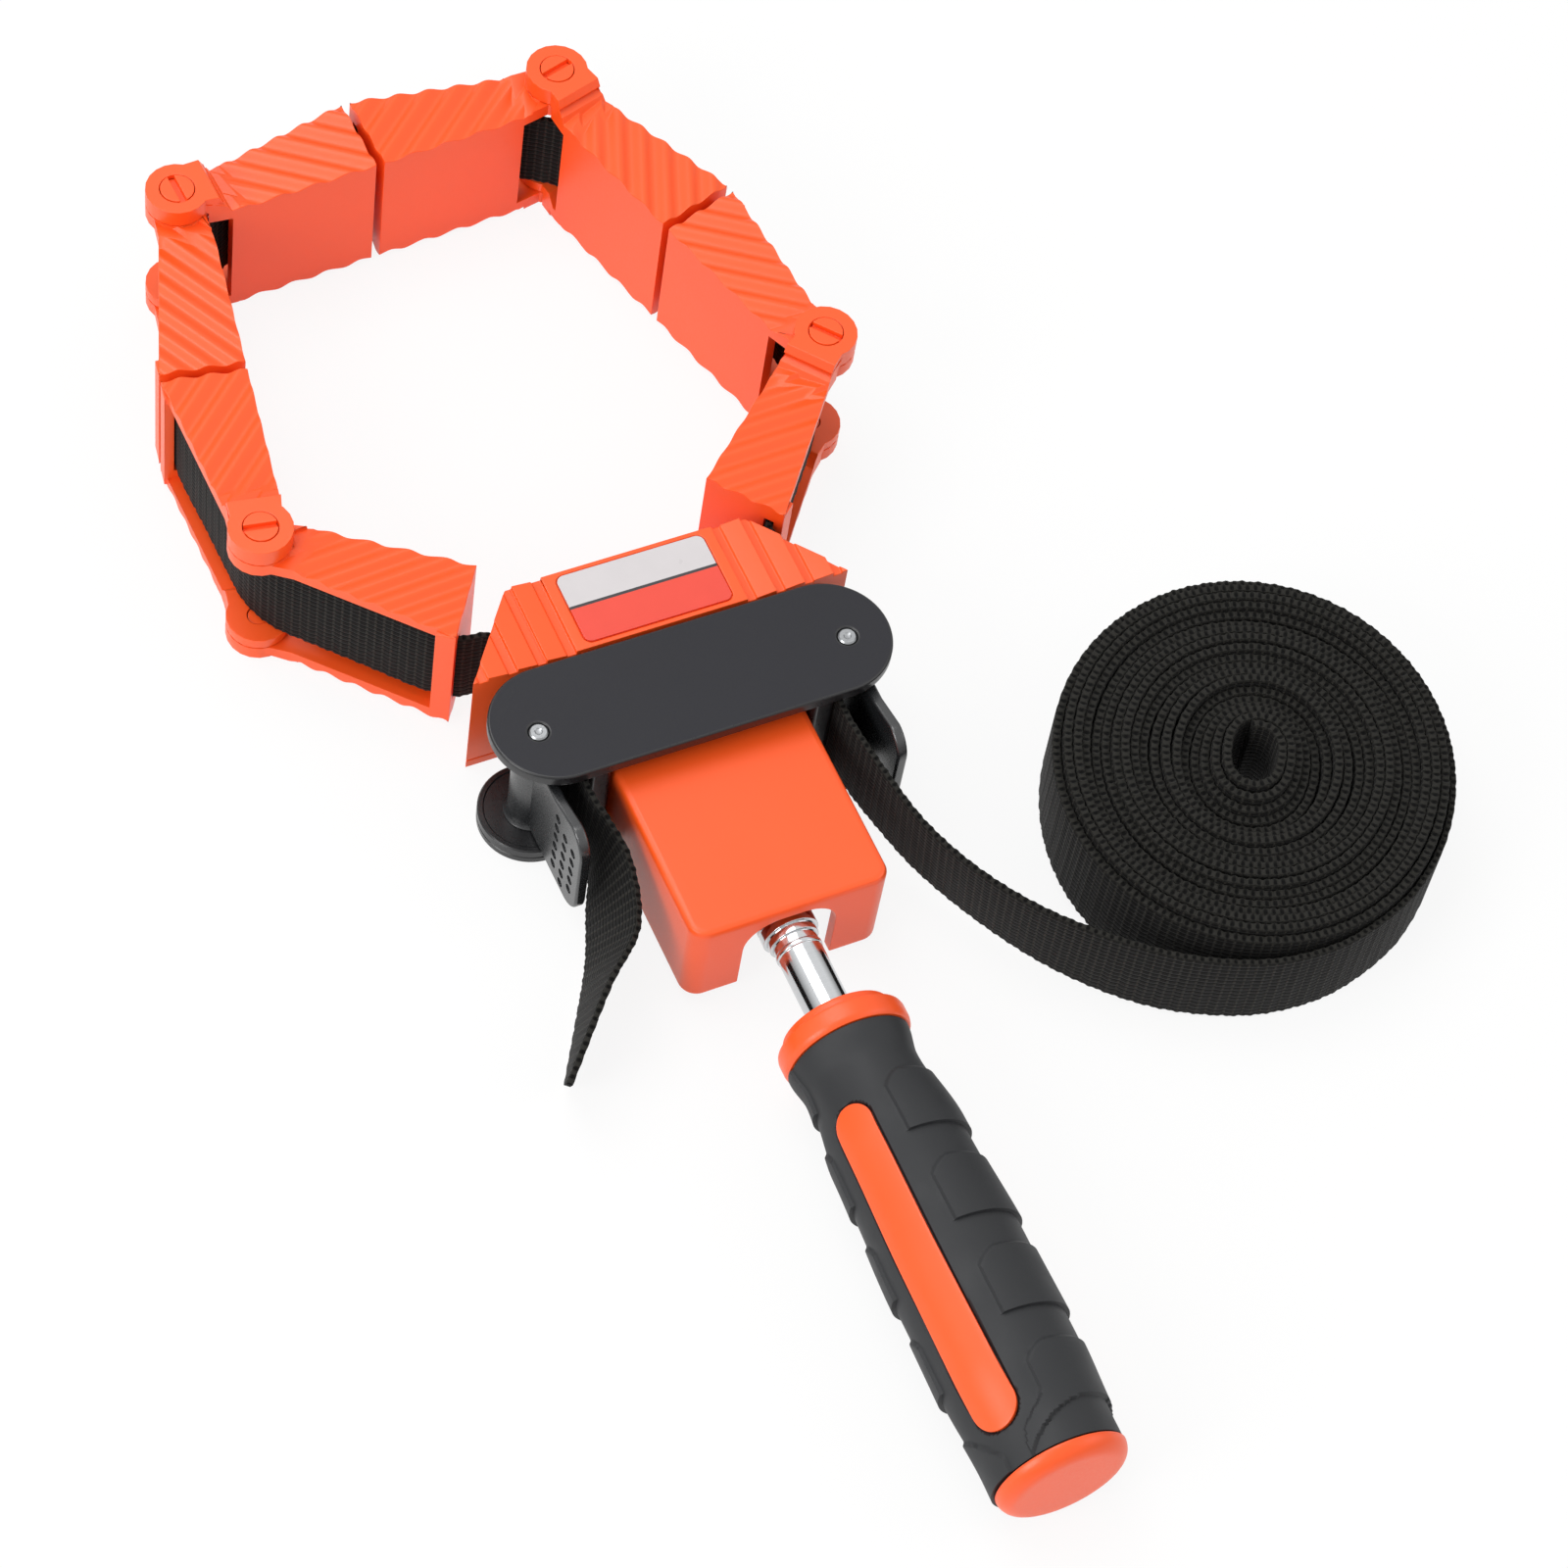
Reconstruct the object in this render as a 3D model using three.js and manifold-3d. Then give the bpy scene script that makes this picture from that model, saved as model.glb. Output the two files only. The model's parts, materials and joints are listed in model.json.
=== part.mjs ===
// Band clamp: a webbing loop with four hinged corner jaws, drawn tight by a screw handle.
// Millimetres, +Z up. The clamp lies flat on z = 0. The origin is the middle of the head's
// underside, the loop of jaws lies towards +Y and the handle points towards -Y.
import * as THREE from 'three';
import { mergeVertices } from 'three/addons/utils/BufferGeometryUtils.js';
import Module from 'manifold-3d';

const wasm = await Module();
wasm.setup();

// Clearances
const SEAT_GAP = 0.3;        // between pieces that sit on or turn beside each other
const PIN_PLAY = 0.2;        // radial, pins and screw in their holes
const STRAP_PLAY = 0.5;      // strap in its slots, each side

// Webbing strap
const STRAP_WIDTH = 25;
const STRAP_THICK = 1.6;
const STRAP_BASE = 7.6;      // lower edge inside head, jaws and bridge
const STRAP_TOP = STRAP_BASE + STRAP_WIDTH;

// Head, a trapezoid in plan with its long side towards the handle
const HEAD_HEIGHT = 37;
const HEAD_DEPTH = 23;
const HEAD_REAR_WIDTH = 98.4;
const HEAD_FRONT_WIDTH = 63.4;
const COVER_THICK = 3;       // base cover under the head
const HEAD_ENTRY_Y = 2.7;    // where the strap enters the slanted ends
const HEAD_RIB_START = 22.5;
const HEAD_RIB_PITCH = 7.6;
const HEAD_RIB_DEPTH = 0.9;
const LABEL_WIDTH = 38.6;
const LABEL_DEPTH = 20;
const LABEL_CORNER = 2;
const LABEL_THICK = 0.6;
const LABEL_RECESS = 0.5;

// Screw box behind the head, open below
const BOX_WIDTH = 51;
const BOX_LENGTH = 80;
const BOX_TOP = 30;
const BOX_WALL = 3;
const BOX_CORNER = 4.5;
const BOX_EDGE = 1.8;        // rounding of the top edges
const ARCH_WIDTH = 24;
const ARCH_TOP = 26.4;
const ARCH_CORNER = 9;
const BEARING_WIDTH = 18;
const BEARING_THICK = 6;
const BEARING_SETBACK = 4.5; // from the front wall's inner face

// Screw, sleeve and handle, turned about a line along Y
const AXIS_Z = 18.2;
const SCREW_RADIUS = 4;
const SCREW_FRONT_GAP = 8;   // from the head's rear face
const SLEEVE_RADIUS = 5.6;
const SLEEVE_WALL = 1.2;
const RING_RADIUS = 7.1;
const RING_LENGTH = 8;
const WASHER_RADIUS = 8;
const WASHER_THICK = 1.5;
const COLLAR_STANDOFF = 26;  // from box front to handle collar
const COLLAR_LENGTH = 8.5;
const COLLAR_RADIUS = 16.1;
const COLLAR_STEP = 2.4;
const GRIP_LENGTH = 108.5;
const GRIP_START_RADIUS = 15;
const GRIP_NECK_RADIUS = 13.8;
const GRIP_BODY_RADIUS = 17;
const GRIP_END_RADIUS = 15.8;
const CORE_RADIUS = 9;
const CAP_LENGTH = 8;
const CAP_RADIUS = 16.1;
const SCREW_IN_HANDLE = 48;
const INLAY_START = 17.5;    // from the grip's front end
const INLAY_END = 5;         // from the grip's back end
const INLAY_WIDTH_FRONT = 10.5;
const INLAY_WIDTH_BACK = 12.5;
const INLAY_TURN = 45;       // degrees from straight up, towards -X
const PAD_COUNT = 4;
const PAD_PITCH = 24;
const PAD_LENGTH = 13.5;
const PAD_START_RIGHT = 15.5; // first pad of the upper right row, from the grip's front end
const PAD_START_LEFT = 4;     // first pad of the lower left row
const PAD_RAMP = 2;
const PAD_HEIGHT = 0.8;
const PAD_HALF_ANGLE = 44;   // degrees each side of the row's middle

// Bridge that carries the two strap cams and rides on the screw
const PIN_SPACING = 80.4;
const BRIDGE_GAP = 4;        // from the head's rear face to the plate at rest
const PLATE_RADIUS = 14.7;
const PLATE_INSET = 3.4;     // how far the plate's round ends are centred inside the pins
const PLATE_THICK = 3.3;
const PLATE_BOTTOM = 34.9;
const PLATE_EDGE = 0.6;
const FOOT_RADIUS = 12.6;
const FOOT_BASE = 0.3;
const FOOT_THICK = 2.3;
const FOOT_BOSS = 2;         // extra height of the foot's round ends
const FOOT_PLAY = 0.4;       // between the foot and the box above it
const WEB_DEPTH = 26;
const NUT_FLATS = 13;
const NUT_LENGTH = 10;
const CARRIER_WIDTH = 19;
const CARRIER_LENGTH = 16;
const CARRIER_WALL = 5.5;
const CAM_PIN_RADIUS = 2.3;
const CAM_HUB_RADIUS = 5;
const CAM_RELEASE = 0.9;     // how much the cam falls away when it is opened
const TAB_LENGTH = 35;
const TAB_THICK = 4.2;
const TAB_BASE = 8.5;
const TAB_TOP = 31;
const TAB_CORNER = 6;

// Corner jaws: each corner is two hollow halves hinged on short pins
const JAW_HEIGHT = 39;
const JAW_REACH = 51.6;      // hinge axis to end face
const JAW_INNER = 7.2;       // hinge axis to the work face
const JAW_WALL_START = 12.2;
const JAW_OUTER_END = 14.4;
const JAW_OUTER_NECK = 6.6;
const JAW_NECK = 10;
const JAW_FLANGE = 4;
const JAW_WALL = 3;
const JAW_END_WALL = 5;
const JAW_SLOT = 10.6;       // strap line at the end face
const JAW_GAP = 2.2;         // between end faces on a straight run
const HEAD_GAP = 8;          // strap shown between head and jaw
const EAR_RADIUS = 8;
const EAR_THICK = 5;
const LOW_EAR_THICK = 3;
const EAR_NECK = 8.5;        // hinge axis to the top of the ramp
const EAR_RAMP = 4;
const RIB_PITCH = 5.9;       // square to the ribs
const RIB_DEPTH = 0.9;
const RIB_RAMP = 0.85;       // share of a rib that slopes, the rest is its step
const RIB_FIRST = 0.8;       // from the hinge axis, square to the ribs
const RIB_ANGLE = -38.5;     // degrees from the work face
const JAW_PIN_RADIUS = 2.6;
const JAW_PIN_HEAD = 4.3;
const JAW_PIN_HEAD_DEPTH = 2;
const JAW_PIN_SLOT = 1.7;

// Directions, in degrees from +X
const LEAD_LEFT = 166;
const LEAD_RIGHT = 91.5;
const NEAR_LEFT_HEAD_ANGLE = -35.3;
const NEAR_RIGHT_HEAD_ANGLE = -140;
const LEFT_RUN_ANGLE = 80.65;

// How the strap turns each corner: bend radius, and the offset outside the hinge axis
const NEAR_BEND = 26;
const NEAR_OFFSET = 0;
const FAR_BEND = 48;
const FAR_OFFSET = -7;
const CORNER_SLIT = 0.45;    // half the slit between the strap lengths of two halves

// Rolled spare strap, standing on edge
const COIL_X = 123.5;
const COIL_Y = -90;
const COIL_RADIUS = 52.2;
const COIL_TURNS = 18;
const COIL_PITCH = 2.42;
const COIL_BASE = 0.3;
const COIL_START = -62;      // degrees, where the free strap joins the roll
const COIL_STRETCH = 0.04;   // how far the roll is out of round
const COIL_LEAN = 54;        // degrees, direction of its long axis
const STEPS_PER_TURN = 24;

// Free strap from the bridge to the roll: x, y and the height of its lower edge. On the first share
// of the way it leans, with its lower edge away from the box
const FREE_LEAN = 3.2;
const FREE_LEAN_SHARE = 0.6;
const LEAD_OUT = 4;          // straight length where it leaves the bridge and where it meets the roll
const FREE_ROUTE = [
  [35.2, -63, 6.2],
  [38.8, -80, 4.6],
  [46, -96, 3.1],
  [57.5, -112, 2],
  [75, -128, 1.2],
  [87.7, -136.1, 0.7],
  [103, -142, 0.4],
  [119.5, -143.4, 0.3],
  [132.9, -140.7, 0.3],
];

// Short tail of the strap on the left: lower edge, then upper edge
const TAIL_ROUTE = [
  [[-34.2, -53.5, 5.2], [-31.6, -54.2, 30]],
  [[-38.1, -61.5, 3.2], [-30, -63.5, 26.6]],
  [[-44.1, -74.9, 2.6], [-34.3, -80.1, 25]],
  [[-51.6, -87.9, 2.2], [-47.3, -93.1, 26]],
  [[-60.6, -102.9, 2], [-66, -113.5, 24]],
];

const ROUND_STEPS = 20;
const GRIP_STEPS = 32;
const FREE_STEPS = 30;
const TAIL_STEPS = 16;
const WELD = 1e-4;

// Values worked out from the sizes above
const headRear = -HEAD_DEPTH / 2;
const boxFront = headRear - BOX_LENGTH;
const pinX = PIN_SPACING / 2;
const bridgeY = headRear - BRIDGE_GAP - PLATE_RADIUS;
const boxBottom = FOOT_BASE + FOOT_THICK + FOOT_PLAY;
const boxSide = BOX_WIDTH / 2;
const camReach = CAM_HUB_RADIUS + CAM_RELEASE;
const strapX = pinX - camReach - SEAT_GAP - STRAP_THICK / 2;
const webInner = boxSide + 2 * SEAT_GAP;
const webOuter = strapX - STRAP_THICK / 2 - SEAT_GAP;
const bearingRear = boxFront + BOX_WALL + BEARING_SETBACK;
const collarFront = boxFront - COLLAR_STANDOFF;
const gripFront = collarFront - COLLAR_LENGTH;
const gripBack = gripFront - GRIP_LENGTH;
const bridgeBack = bridgeY - PLATE_RADIUS;

const rad = (degrees) => degrees * Math.PI / 180;
const vec = (x, y, z = 0) => new THREE.Vector3(x, y, z);

// A closed geometry as a solid: shared corners welded, empty faces dropped, faces outwards
function solid(geometry) {
  const bare = new THREE.BufferGeometry();
  bare.setAttribute('position', geometry.getAttribute('position').clone());
  bare.setIndex(geometry.getIndex());
  const welded = mergeVertices(bare, WELD);
  const place = welded.getAttribute('position');
  const index = welded.getIndex().array;
  const faces = [];
  let volume = 0;
  const [a, b, c] = [vec(0, 0), vec(0, 0), vec(0, 0)];
  for (let i = 0; i < index.length; i += 3) {
    const [p, q, r] = [index[i], index[i + 1], index[i + 2]];
    if (p === q || q === r || r === p) continue;
    faces.push(p, q, r);
    a.fromBufferAttribute(place, p);
    b.fromBufferAttribute(place, q);
    c.fromBufferAttribute(place, r);
    volume += a.dot(b.cross(c));
  }
  if (volume < 0) faces.reverse();
  return new wasm.Manifold(new wasm.Mesh({
    numProp: 3,
    vertProperties: new Float32Array(place.array),
    triVerts: new Uint32Array(faces),
  }));
}

function geometryOf(body) {
  const mesh = body.getMesh();
  const geometry = new THREE.BufferGeometry();
  geometry.setAttribute('position', new THREE.BufferAttribute(mesh.vertProperties, 3));
  geometry.setIndex(new THREE.BufferAttribute(mesh.triVerts, 1));
  geometry.computeVertexNormals();
  return geometry;
}

function shapeOf(points) {
  return new THREE.Shape(points.map(([x, y]) => new THREE.Vector2(x, y)));
}

// Rectangle with round corners, given by its limits
function roundRect(x0, x1, y0, y1, corner) {
  const shape = new THREE.Shape();
  shape.moveTo(x0 + corner, y0);
  shape.lineTo(x1 - corner, y0);
  shape.absarc(x1 - corner, y0 + corner, corner, -Math.PI / 2, 0);
  shape.absarc(x1 - corner, y1 - corner, corner, 0, Math.PI / 2);
  shape.absarc(x0 + corner, y1 - corner, corner, Math.PI / 2, Math.PI);
  shape.absarc(x0 + corner, y0 + corner, corner, Math.PI, 1.5 * Math.PI);
  return shape;
}

// Two round ends on the X axis joined by straight sides
function stadium(halfSpacing, radius, y) {
  const shape = new THREE.Shape();
  shape.absarc(halfSpacing, y, radius, -Math.PI / 2, Math.PI / 2);
  shape.absarc(-halfSpacing, y, radius, Math.PI / 2, 1.5 * Math.PI);
  return shape;
}

function extrude(shape, depth, bevel = 0) {
  return new THREE.ExtrudeGeometry(shape, {
    depth: depth - 2 * bevel,
    bevelEnabled: bevel > 0,
    bevelThickness: bevel,
    bevelSize: bevel,
    bevelOffset: -bevel,
    bevelSegments: 2,
    curveSegments: ROUND_STEPS / 4,
  }).translate(0, 0, bevel);
}

// Outline in plan, raised from low to high
function prism(shape, low, high, bevel = 0) {
  return solid(extrude(shape, high - low, bevel).translate(0, 0, low));
}

// Outline in X and Z, running along Y
function prismAlongY(shape, front, back) {
  return solid(extrude(shape, back - front).rotateX(Math.PI / 2).translate(0, back, 0));
}

// Outline in Y and Z, running along X
function prismAlongX(shape, low, high) {
  const turn = new THREE.Matrix4().makeBasis(vec(0, 1), vec(0, 0, 1), vec(1, 0));
  return solid(extrude(shape, high - low).applyMatrix4(turn).translate(low, 0, 0));
}

function block(x0, x1, y0, y1, z0, z1) {
  const box = new THREE.BoxGeometry(x1 - x0, y1 - y0, z1 - z0);
  return solid(box.translate((x0 + x1) / 2, (y0 + y1) / 2, (z0 + z1) / 2));
}

// Upright round bar
function bar(radius, x, y, low, high) {
  const round = new THREE.CylinderGeometry(radius, radius, high - low, ROUND_STEPS);
  return solid(round.rotateX(Math.PI / 2).translate(x, y, (low + high) / 2));
}

// Profile of [radius, y] turned about the screw's axis
function turned(profile, steps = ROUND_STEPS) {
  const points = profile.map(([r, y]) => new THREE.Vector2(r, y));
  return solid(new THREE.LatheGeometry(points, steps).translate(0, 0, AXIS_Z));
}

function axisBar(radius, front, back) {
  return turned([[0, front], [radius, front], [radius, back], [0, back]]);
}

// Ribbon of strap through stations, each with its lower and upper edge and its face direction
function ribbon(stations) {
  const half = STRAP_THICK / 2;
  const corners = [];
  for (const { low, high, face } of stations) {
    for (const [edge, side] of [[low, 1], [high, 1], [high, -1], [low, -1]]) {
      corners.push(edge.clone().addScaledVector(face, side * half));
    }
  }
  const faces = [0, 1, 2, 0, 2, 3];
  for (let i = 0; i + 1 < stations.length; i += 1) {
    for (let k = 0; k < 4; k += 1) {
      const [a, b] = [4 * i + k, 4 * i + (k + 1) % 4];
      faces.push(a, a + 4, b + 4, a, b + 4, b);
    }
  }
  const last = 4 * (stations.length - 1);
  faces.push(last, last + 2, last + 1, last, last + 3, last + 2);
  const geometry = new THREE.BufferGeometry();
  geometry.setAttribute('position', new THREE.Float32BufferAttribute(
    corners.flatMap((p) => [p.x, p.y, p.z]), 3));
  geometry.setIndex(faces);
  return solid(geometry);
}

// Stations for strap that stands upright along a plan route of [x, y, lower edge]
function upright(route) {
  return route.map(([x, y, base], i) => {
    const before = route[Math.max(i - 1, 0)];
    const after = route[Math.min(i + 1, route.length - 1)];
    const along = vec(after[0] - before[0], after[1] - before[1]).normalize();
    return {
      low: vec(x, y, base),
      high: vec(x, y, base + STRAP_WIDTH),
      face: vec(along.y, -along.x),
    };
  });
}

// Finishes
const finish = (color, roughness, metalness = 0) => (
  () => new THREE.MeshStandardMaterial({ color, roughness, metalness }));
const orangePlastic = finish('#f2561d', 0.42);
const greyPlastic = finish('#414045', 0.45);
const blackPlastic = finish('#1f1f21', 0.35);
const blackRubber = finish('#37383a', 0.7);
const steel = finish('#c9cbce', 0.25, 1);
const zincSteel = finish('#a9abad', 0.4, 1);
const webbing = finish('#17171a', 0.85);
const labelFilm = finish('#d9d6d8', 0.35);

const clamp = new THREE.Group();

function add(parent, name, body, material) {
  const mesh = new THREE.Mesh(geometryOf(body), material());
  mesh.name = name;
  parent.add(mesh);
}

// Plan position of the slanted end of the head at a given y
function slantX(y) {
  const share = (y - headRear) / HEAD_DEPTH;
  return (HEAD_REAR_WIDTH + (HEAD_FRONT_WIDTH - HEAD_REAR_WIDTH) * share) / 2;
}

function headShape() {
  const [rear, front] = [HEAD_REAR_WIDTH / 2, HEAD_FRONT_WIDTH / 2];
  return shapeOf([[-rear, headRear], [rear, headRear], [front, -headRear], [-front, -headRear]]);
}

// Strap line through the head: from outside the slanted end to the rear face
const entryX = slantX(HEAD_ENTRY_Y);
const headLine = vec(entryX - strapX, HEAD_ENTRY_Y - headRear).normalize();
const entryOut = vec(entryX, HEAD_ENTRY_Y).addScaledVector(headLine, STRAP_THICK);

function strapSlot(side) {
  const start = vec(strapX, headRear).addScaledVector(headLine, -HEAD_DEPTH);
  const end = entryOut.clone().addScaledVector(headLine, HEAD_DEPTH);
  const across = vec(headLine.y, -headLine.x);
  const half = STRAP_THICK / 2 + STRAP_PLAY;
  const corners = [[start, half], [end, half], [end, -half], [start, -half]].map(([p, w]) => {
    const q = p.clone().addScaledVector(across, w);
    return [side * q.x, q.y];
  });
  return prism(shapeOf(corners), STRAP_BASE - STRAP_PLAY, STRAP_TOP + STRAP_PLAY);
}

function labelShape(grow) {
  const [w, d] = [LABEL_WIDTH / 2 + grow, LABEL_DEPTH / 2 + grow];
  return roundRect(-w, w, -d, d, LABEL_CORNER + grow);
}

function headSolid() {
  let head = prism(headShape(), COVER_THICK, HEAD_HEIGHT);
  const ribEnd = HEAD_REAR_WIDTH / 2;
  for (let x = HEAD_RIB_START; x < ribEnd; x += HEAD_RIB_PITCH) {
    const tooth = [
      [x, HEAD_HEIGHT - HEAD_RIB_DEPTH],
      [x + HEAD_RIB_PITCH, HEAD_HEIGHT],
      [x + HEAD_RIB_PITCH, HEAD_HEIGHT + HEAD_RIB_DEPTH],
      [x, HEAD_HEIGHT + HEAD_RIB_DEPTH],
    ];
    for (const side of [-1, 1]) {
      const cut = shapeOf(tooth.map(([u, v]) => [side * u, v]));
      head = head.subtract(prismAlongY(cut, headRear - 1, -headRear + 1));
    }
  }
  return head.subtract(prism(labelShape(SEAT_GAP), HEAD_HEIGHT - LABEL_RECESS, HEAD_HEIGHT + 1));
}

function boxSolid() {
  const [front, back] = [boxFront, headRear + BOX_CORNER + 1];
  const outline = roundRect(-boxSide, boxSide, front, back, BOX_CORNER);
  const inner = boxSide - BOX_WALL;
  const well = roundRect(-inner, inner, front + BOX_WALL, headRear - BOX_WALL, BOX_CORNER - BOX_WALL);
  const archSide = ARCH_WIDTH / 2;
  const arch = roundRect(-archSide, archSide, boxBottom - ARCH_CORNER - 1, ARCH_TOP, ARCH_CORNER);
  let shell = prism(outline, boxBottom, BOX_TOP - BOX_EDGE);
  shell = shell.add(prism(outline, BOX_TOP - 3 * BOX_EDGE, BOX_TOP, BOX_EDGE));
  shell = shell.subtract(prism(well, boxBottom - 1, BOX_TOP - BOX_WALL));
  return shell.subtract(prismAlongY(arch, boxFront - 1, boxFront + BOX_WALL + 1));
}

// Rib that hangs from the roof of the box and takes the pull of the screw
function bearingRib() {
  const half = BEARING_WIDTH / 2;
  const roof = BOX_TOP - BOX_WALL / 2;
  const shape = new THREE.Shape();
  shape.moveTo(half, roof);
  shape.lineTo(-half, roof);
  shape.absarc(0, AXIS_Z, half, Math.PI, 2 * Math.PI);
  const rib = prismAlongY(shape, bearingRear, bearingRear + BEARING_THICK);
  return rib.subtract(axisBar(SCREW_RADIUS + PIN_PLAY, bearingRear - 1, bearingRear + BEARING_THICK + 1));
}

function addHousing() {
  const body = headSolid().add(boxSolid()).add(bearingRib());
  add(clamp, 'housing', body.subtract(strapSlot(1)).subtract(strapSlot(-1)), orangePlastic);
  add(clamp, 'base_cover', prism(headShape(), 0, COVER_THICK - SEAT_GAP), orangePlastic);
  const labelBase = HEAD_HEIGHT - LABEL_RECESS + SEAT_GAP / 3;
  add(clamp, 'label_plate', prism(labelShape(0), labelBase, labelBase + LABEL_THICK), labelFilm);
}

function addScrewAndHandle() {
  const screwFront = headRear - SCREW_FRONT_GAP;
  const screwBack = gripFront - SCREW_IN_HANDLE;
  const tip = SCREW_RADIUS - 1;
  add(clamp, 'screw_rod', turned([
    [0, screwBack], [SCREW_RADIUS, screwBack], [SCREW_RADIUS, screwFront - 1],
    [tip, screwFront], [0, screwFront],
  ]), zincSteel);

  // Collar inside the box that keeps the screw from moving towards the handle
  const keeperFace = bearingRear + BEARING_THICK + SEAT_GAP;
  const bore = SCREW_RADIUS + PIN_PLAY;
  const washer = (face) => axisBar(WASHER_RADIUS, face, face + WASHER_THICK)
    .subtract(axisBar(bore, face - 1, face + WASHER_THICK + 1));
  add(clamp, 'retaining_collar', washer(keeperFace), zincSteel);
  const washerFace = bearingRear - SEAT_GAP - WASHER_THICK;
  add(clamp, 'thrust_washer', washer(washerFace), zincSteel);

  // Bright sleeve with a stepped ring against the thrust washer
  const ringFront = washerFace - SEAT_GAP;
  const ringBack = ringFront - RING_LENGTH;
  const sleeveBack = collarFront - COLLAR_LENGTH;
  const step = (RING_RADIUS - SLEEVE_RADIUS) / 2;
  const sleeveBore = SLEEVE_RADIUS - SLEEVE_WALL;
  const sleeve = turned([
    [sleeveBore, sleeveBack], [SLEEVE_RADIUS, sleeveBack], [SLEEVE_RADIUS, ringBack],
    [SLEEVE_RADIUS + step, ringBack], [SLEEVE_RADIUS + step, ringBack + RING_LENGTH / 4],
    [RING_RADIUS, ringBack + RING_LENGTH / 4], [RING_RADIUS, ringFront],
    [sleeveBore, ringFront], [sleeveBore, sleeveBack],
  ]);
  add(clamp, 'rod_sleeve', sleeve, steel);
  addHandle(screwBack, sleeveBack);
}

// Radius of the grip at a distance from its front end
function gripRadius(u) {
  const knots = [
    [0, GRIP_START_RADIUS],
    [0.07, GRIP_NECK_RADIUS],
    [0.25, (GRIP_NECK_RADIUS + 2 * GRIP_BODY_RADIUS) / 3],
    [0.55, GRIP_BODY_RADIUS],
    [0.8, GRIP_BODY_RADIUS],
    [1, GRIP_END_RADIUS],
  ];
  const share = Math.min(Math.max(u / GRIP_LENGTH, 0), 1);
  const next = Math.max(knots.findIndex(([k]) => k >= share), 1);
  const [[k0, r0], [k1, r1]] = [knots[next - 1], knots[next]];
  const ease = THREE.MathUtils.smoothstep(share, k0, k1);
  return r0 + (r1 - r0) * ease;
}

// Closed surface of rings about the screw's axis, with a radius for each place and angle
function ringedBody(places, steps, radiusAt) {
  const points = [];
  for (const u of places) {
    for (let k = 0; k < steps; k += 1) {
      const angle = 2 * Math.PI * k / steps;
      const r = radiusAt(u, angle);
      points.push(r * Math.sin(angle), gripFront - u, AXIS_Z + r * Math.cos(angle));
    }
  }
  const faces = [];
  for (let i = 0; i + 1 < places.length; i += 1) {
    for (let k = 0; k < steps; k += 1) {
      const [a, b] = [i * steps + k, i * steps + (k + 1) % steps];
      faces.push(a, b, b + steps, a, b + steps, a + steps);
    }
  }
  const last = (places.length - 1) * steps;
  for (let k = 1; k + 1 < steps; k += 1) {
    faces.push(0, k + 1, k, last, last + k, last + k + 1);
  }
  const geometry = new THREE.BufferGeometry();
  geometry.setAttribute('position', new THREE.Float32BufferAttribute(points, 3));
  geometry.setIndex(faces);
  return solid(geometry);
}

// Where the pads of a row start, for as many as the grip has room for
function padStarts(first) {
  const starts = Array.from({ length: PAD_COUNT }, (_, i) => first + i * PAD_PITCH);
  return starts.filter((start) => start + PAD_LENGTH + SEAT_GAP < GRIP_LENGTH);
}

// Places along the grip: the ends of every pad, and steps between them
function gripPlaces() {
  const places = [0, GRIP_LENGTH * 0.035, GRIP_LENGTH * 0.07, GRIP_LENGTH * 0.1];
  for (const first of [PAD_START_RIGHT, PAD_START_LEFT]) {
    for (const start of padStarts(first)) {
      places.push(start, start + PAD_RAMP, start + PAD_LENGTH, start + PAD_LENGTH + SEAT_GAP);
    }
  }
  places.push(GRIP_LENGTH);
  return places.sort((a, b) => a - b);
}

// Raised grip pads in two rows, midway between the two inlays
function padRise(u, angle) {
  const turn = THREE.MathUtils.euclideanModulo(angle * 180 / Math.PI + INLAY_TURN, 360);
  if (Math.abs(turn % 180 - 90) > PAD_HALF_ANGLE) return 0;
  const first = turn < 180 ? PAD_START_RIGHT : PAD_START_LEFT;
  for (const start of padStarts(first)) {
    if (u > start && u <= start + PAD_LENGTH) return PAD_HEIGHT;
  }
  return 0;
}

// Pill-shaped bar that stands out sideways from the handle's axis
function inlayBar(grow, turn) {
  const [front, back] = [INLAY_WIDTH_FRONT / 2 + grow, INLAY_WIDTH_BACK / 2 + grow];
  const from = gripFront - INLAY_START - INLAY_WIDTH_FRONT / 2;
  const to = gripBack + INLAY_END + INLAY_WIDTH_BACK / 2;
  const shape = new THREE.Shape();
  shape.absarc(0, from, front, 0, Math.PI);
  shape.absarc(0, to, back, Math.PI, 2 * Math.PI);
  const tall = COLLAR_RADIUS + CORE_RADIUS;
  const bar = extrude(shape, tall).rotateY(-rad(turn)).translate(0, 0, AXIS_Z);
  return solid(bar);
}

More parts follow.
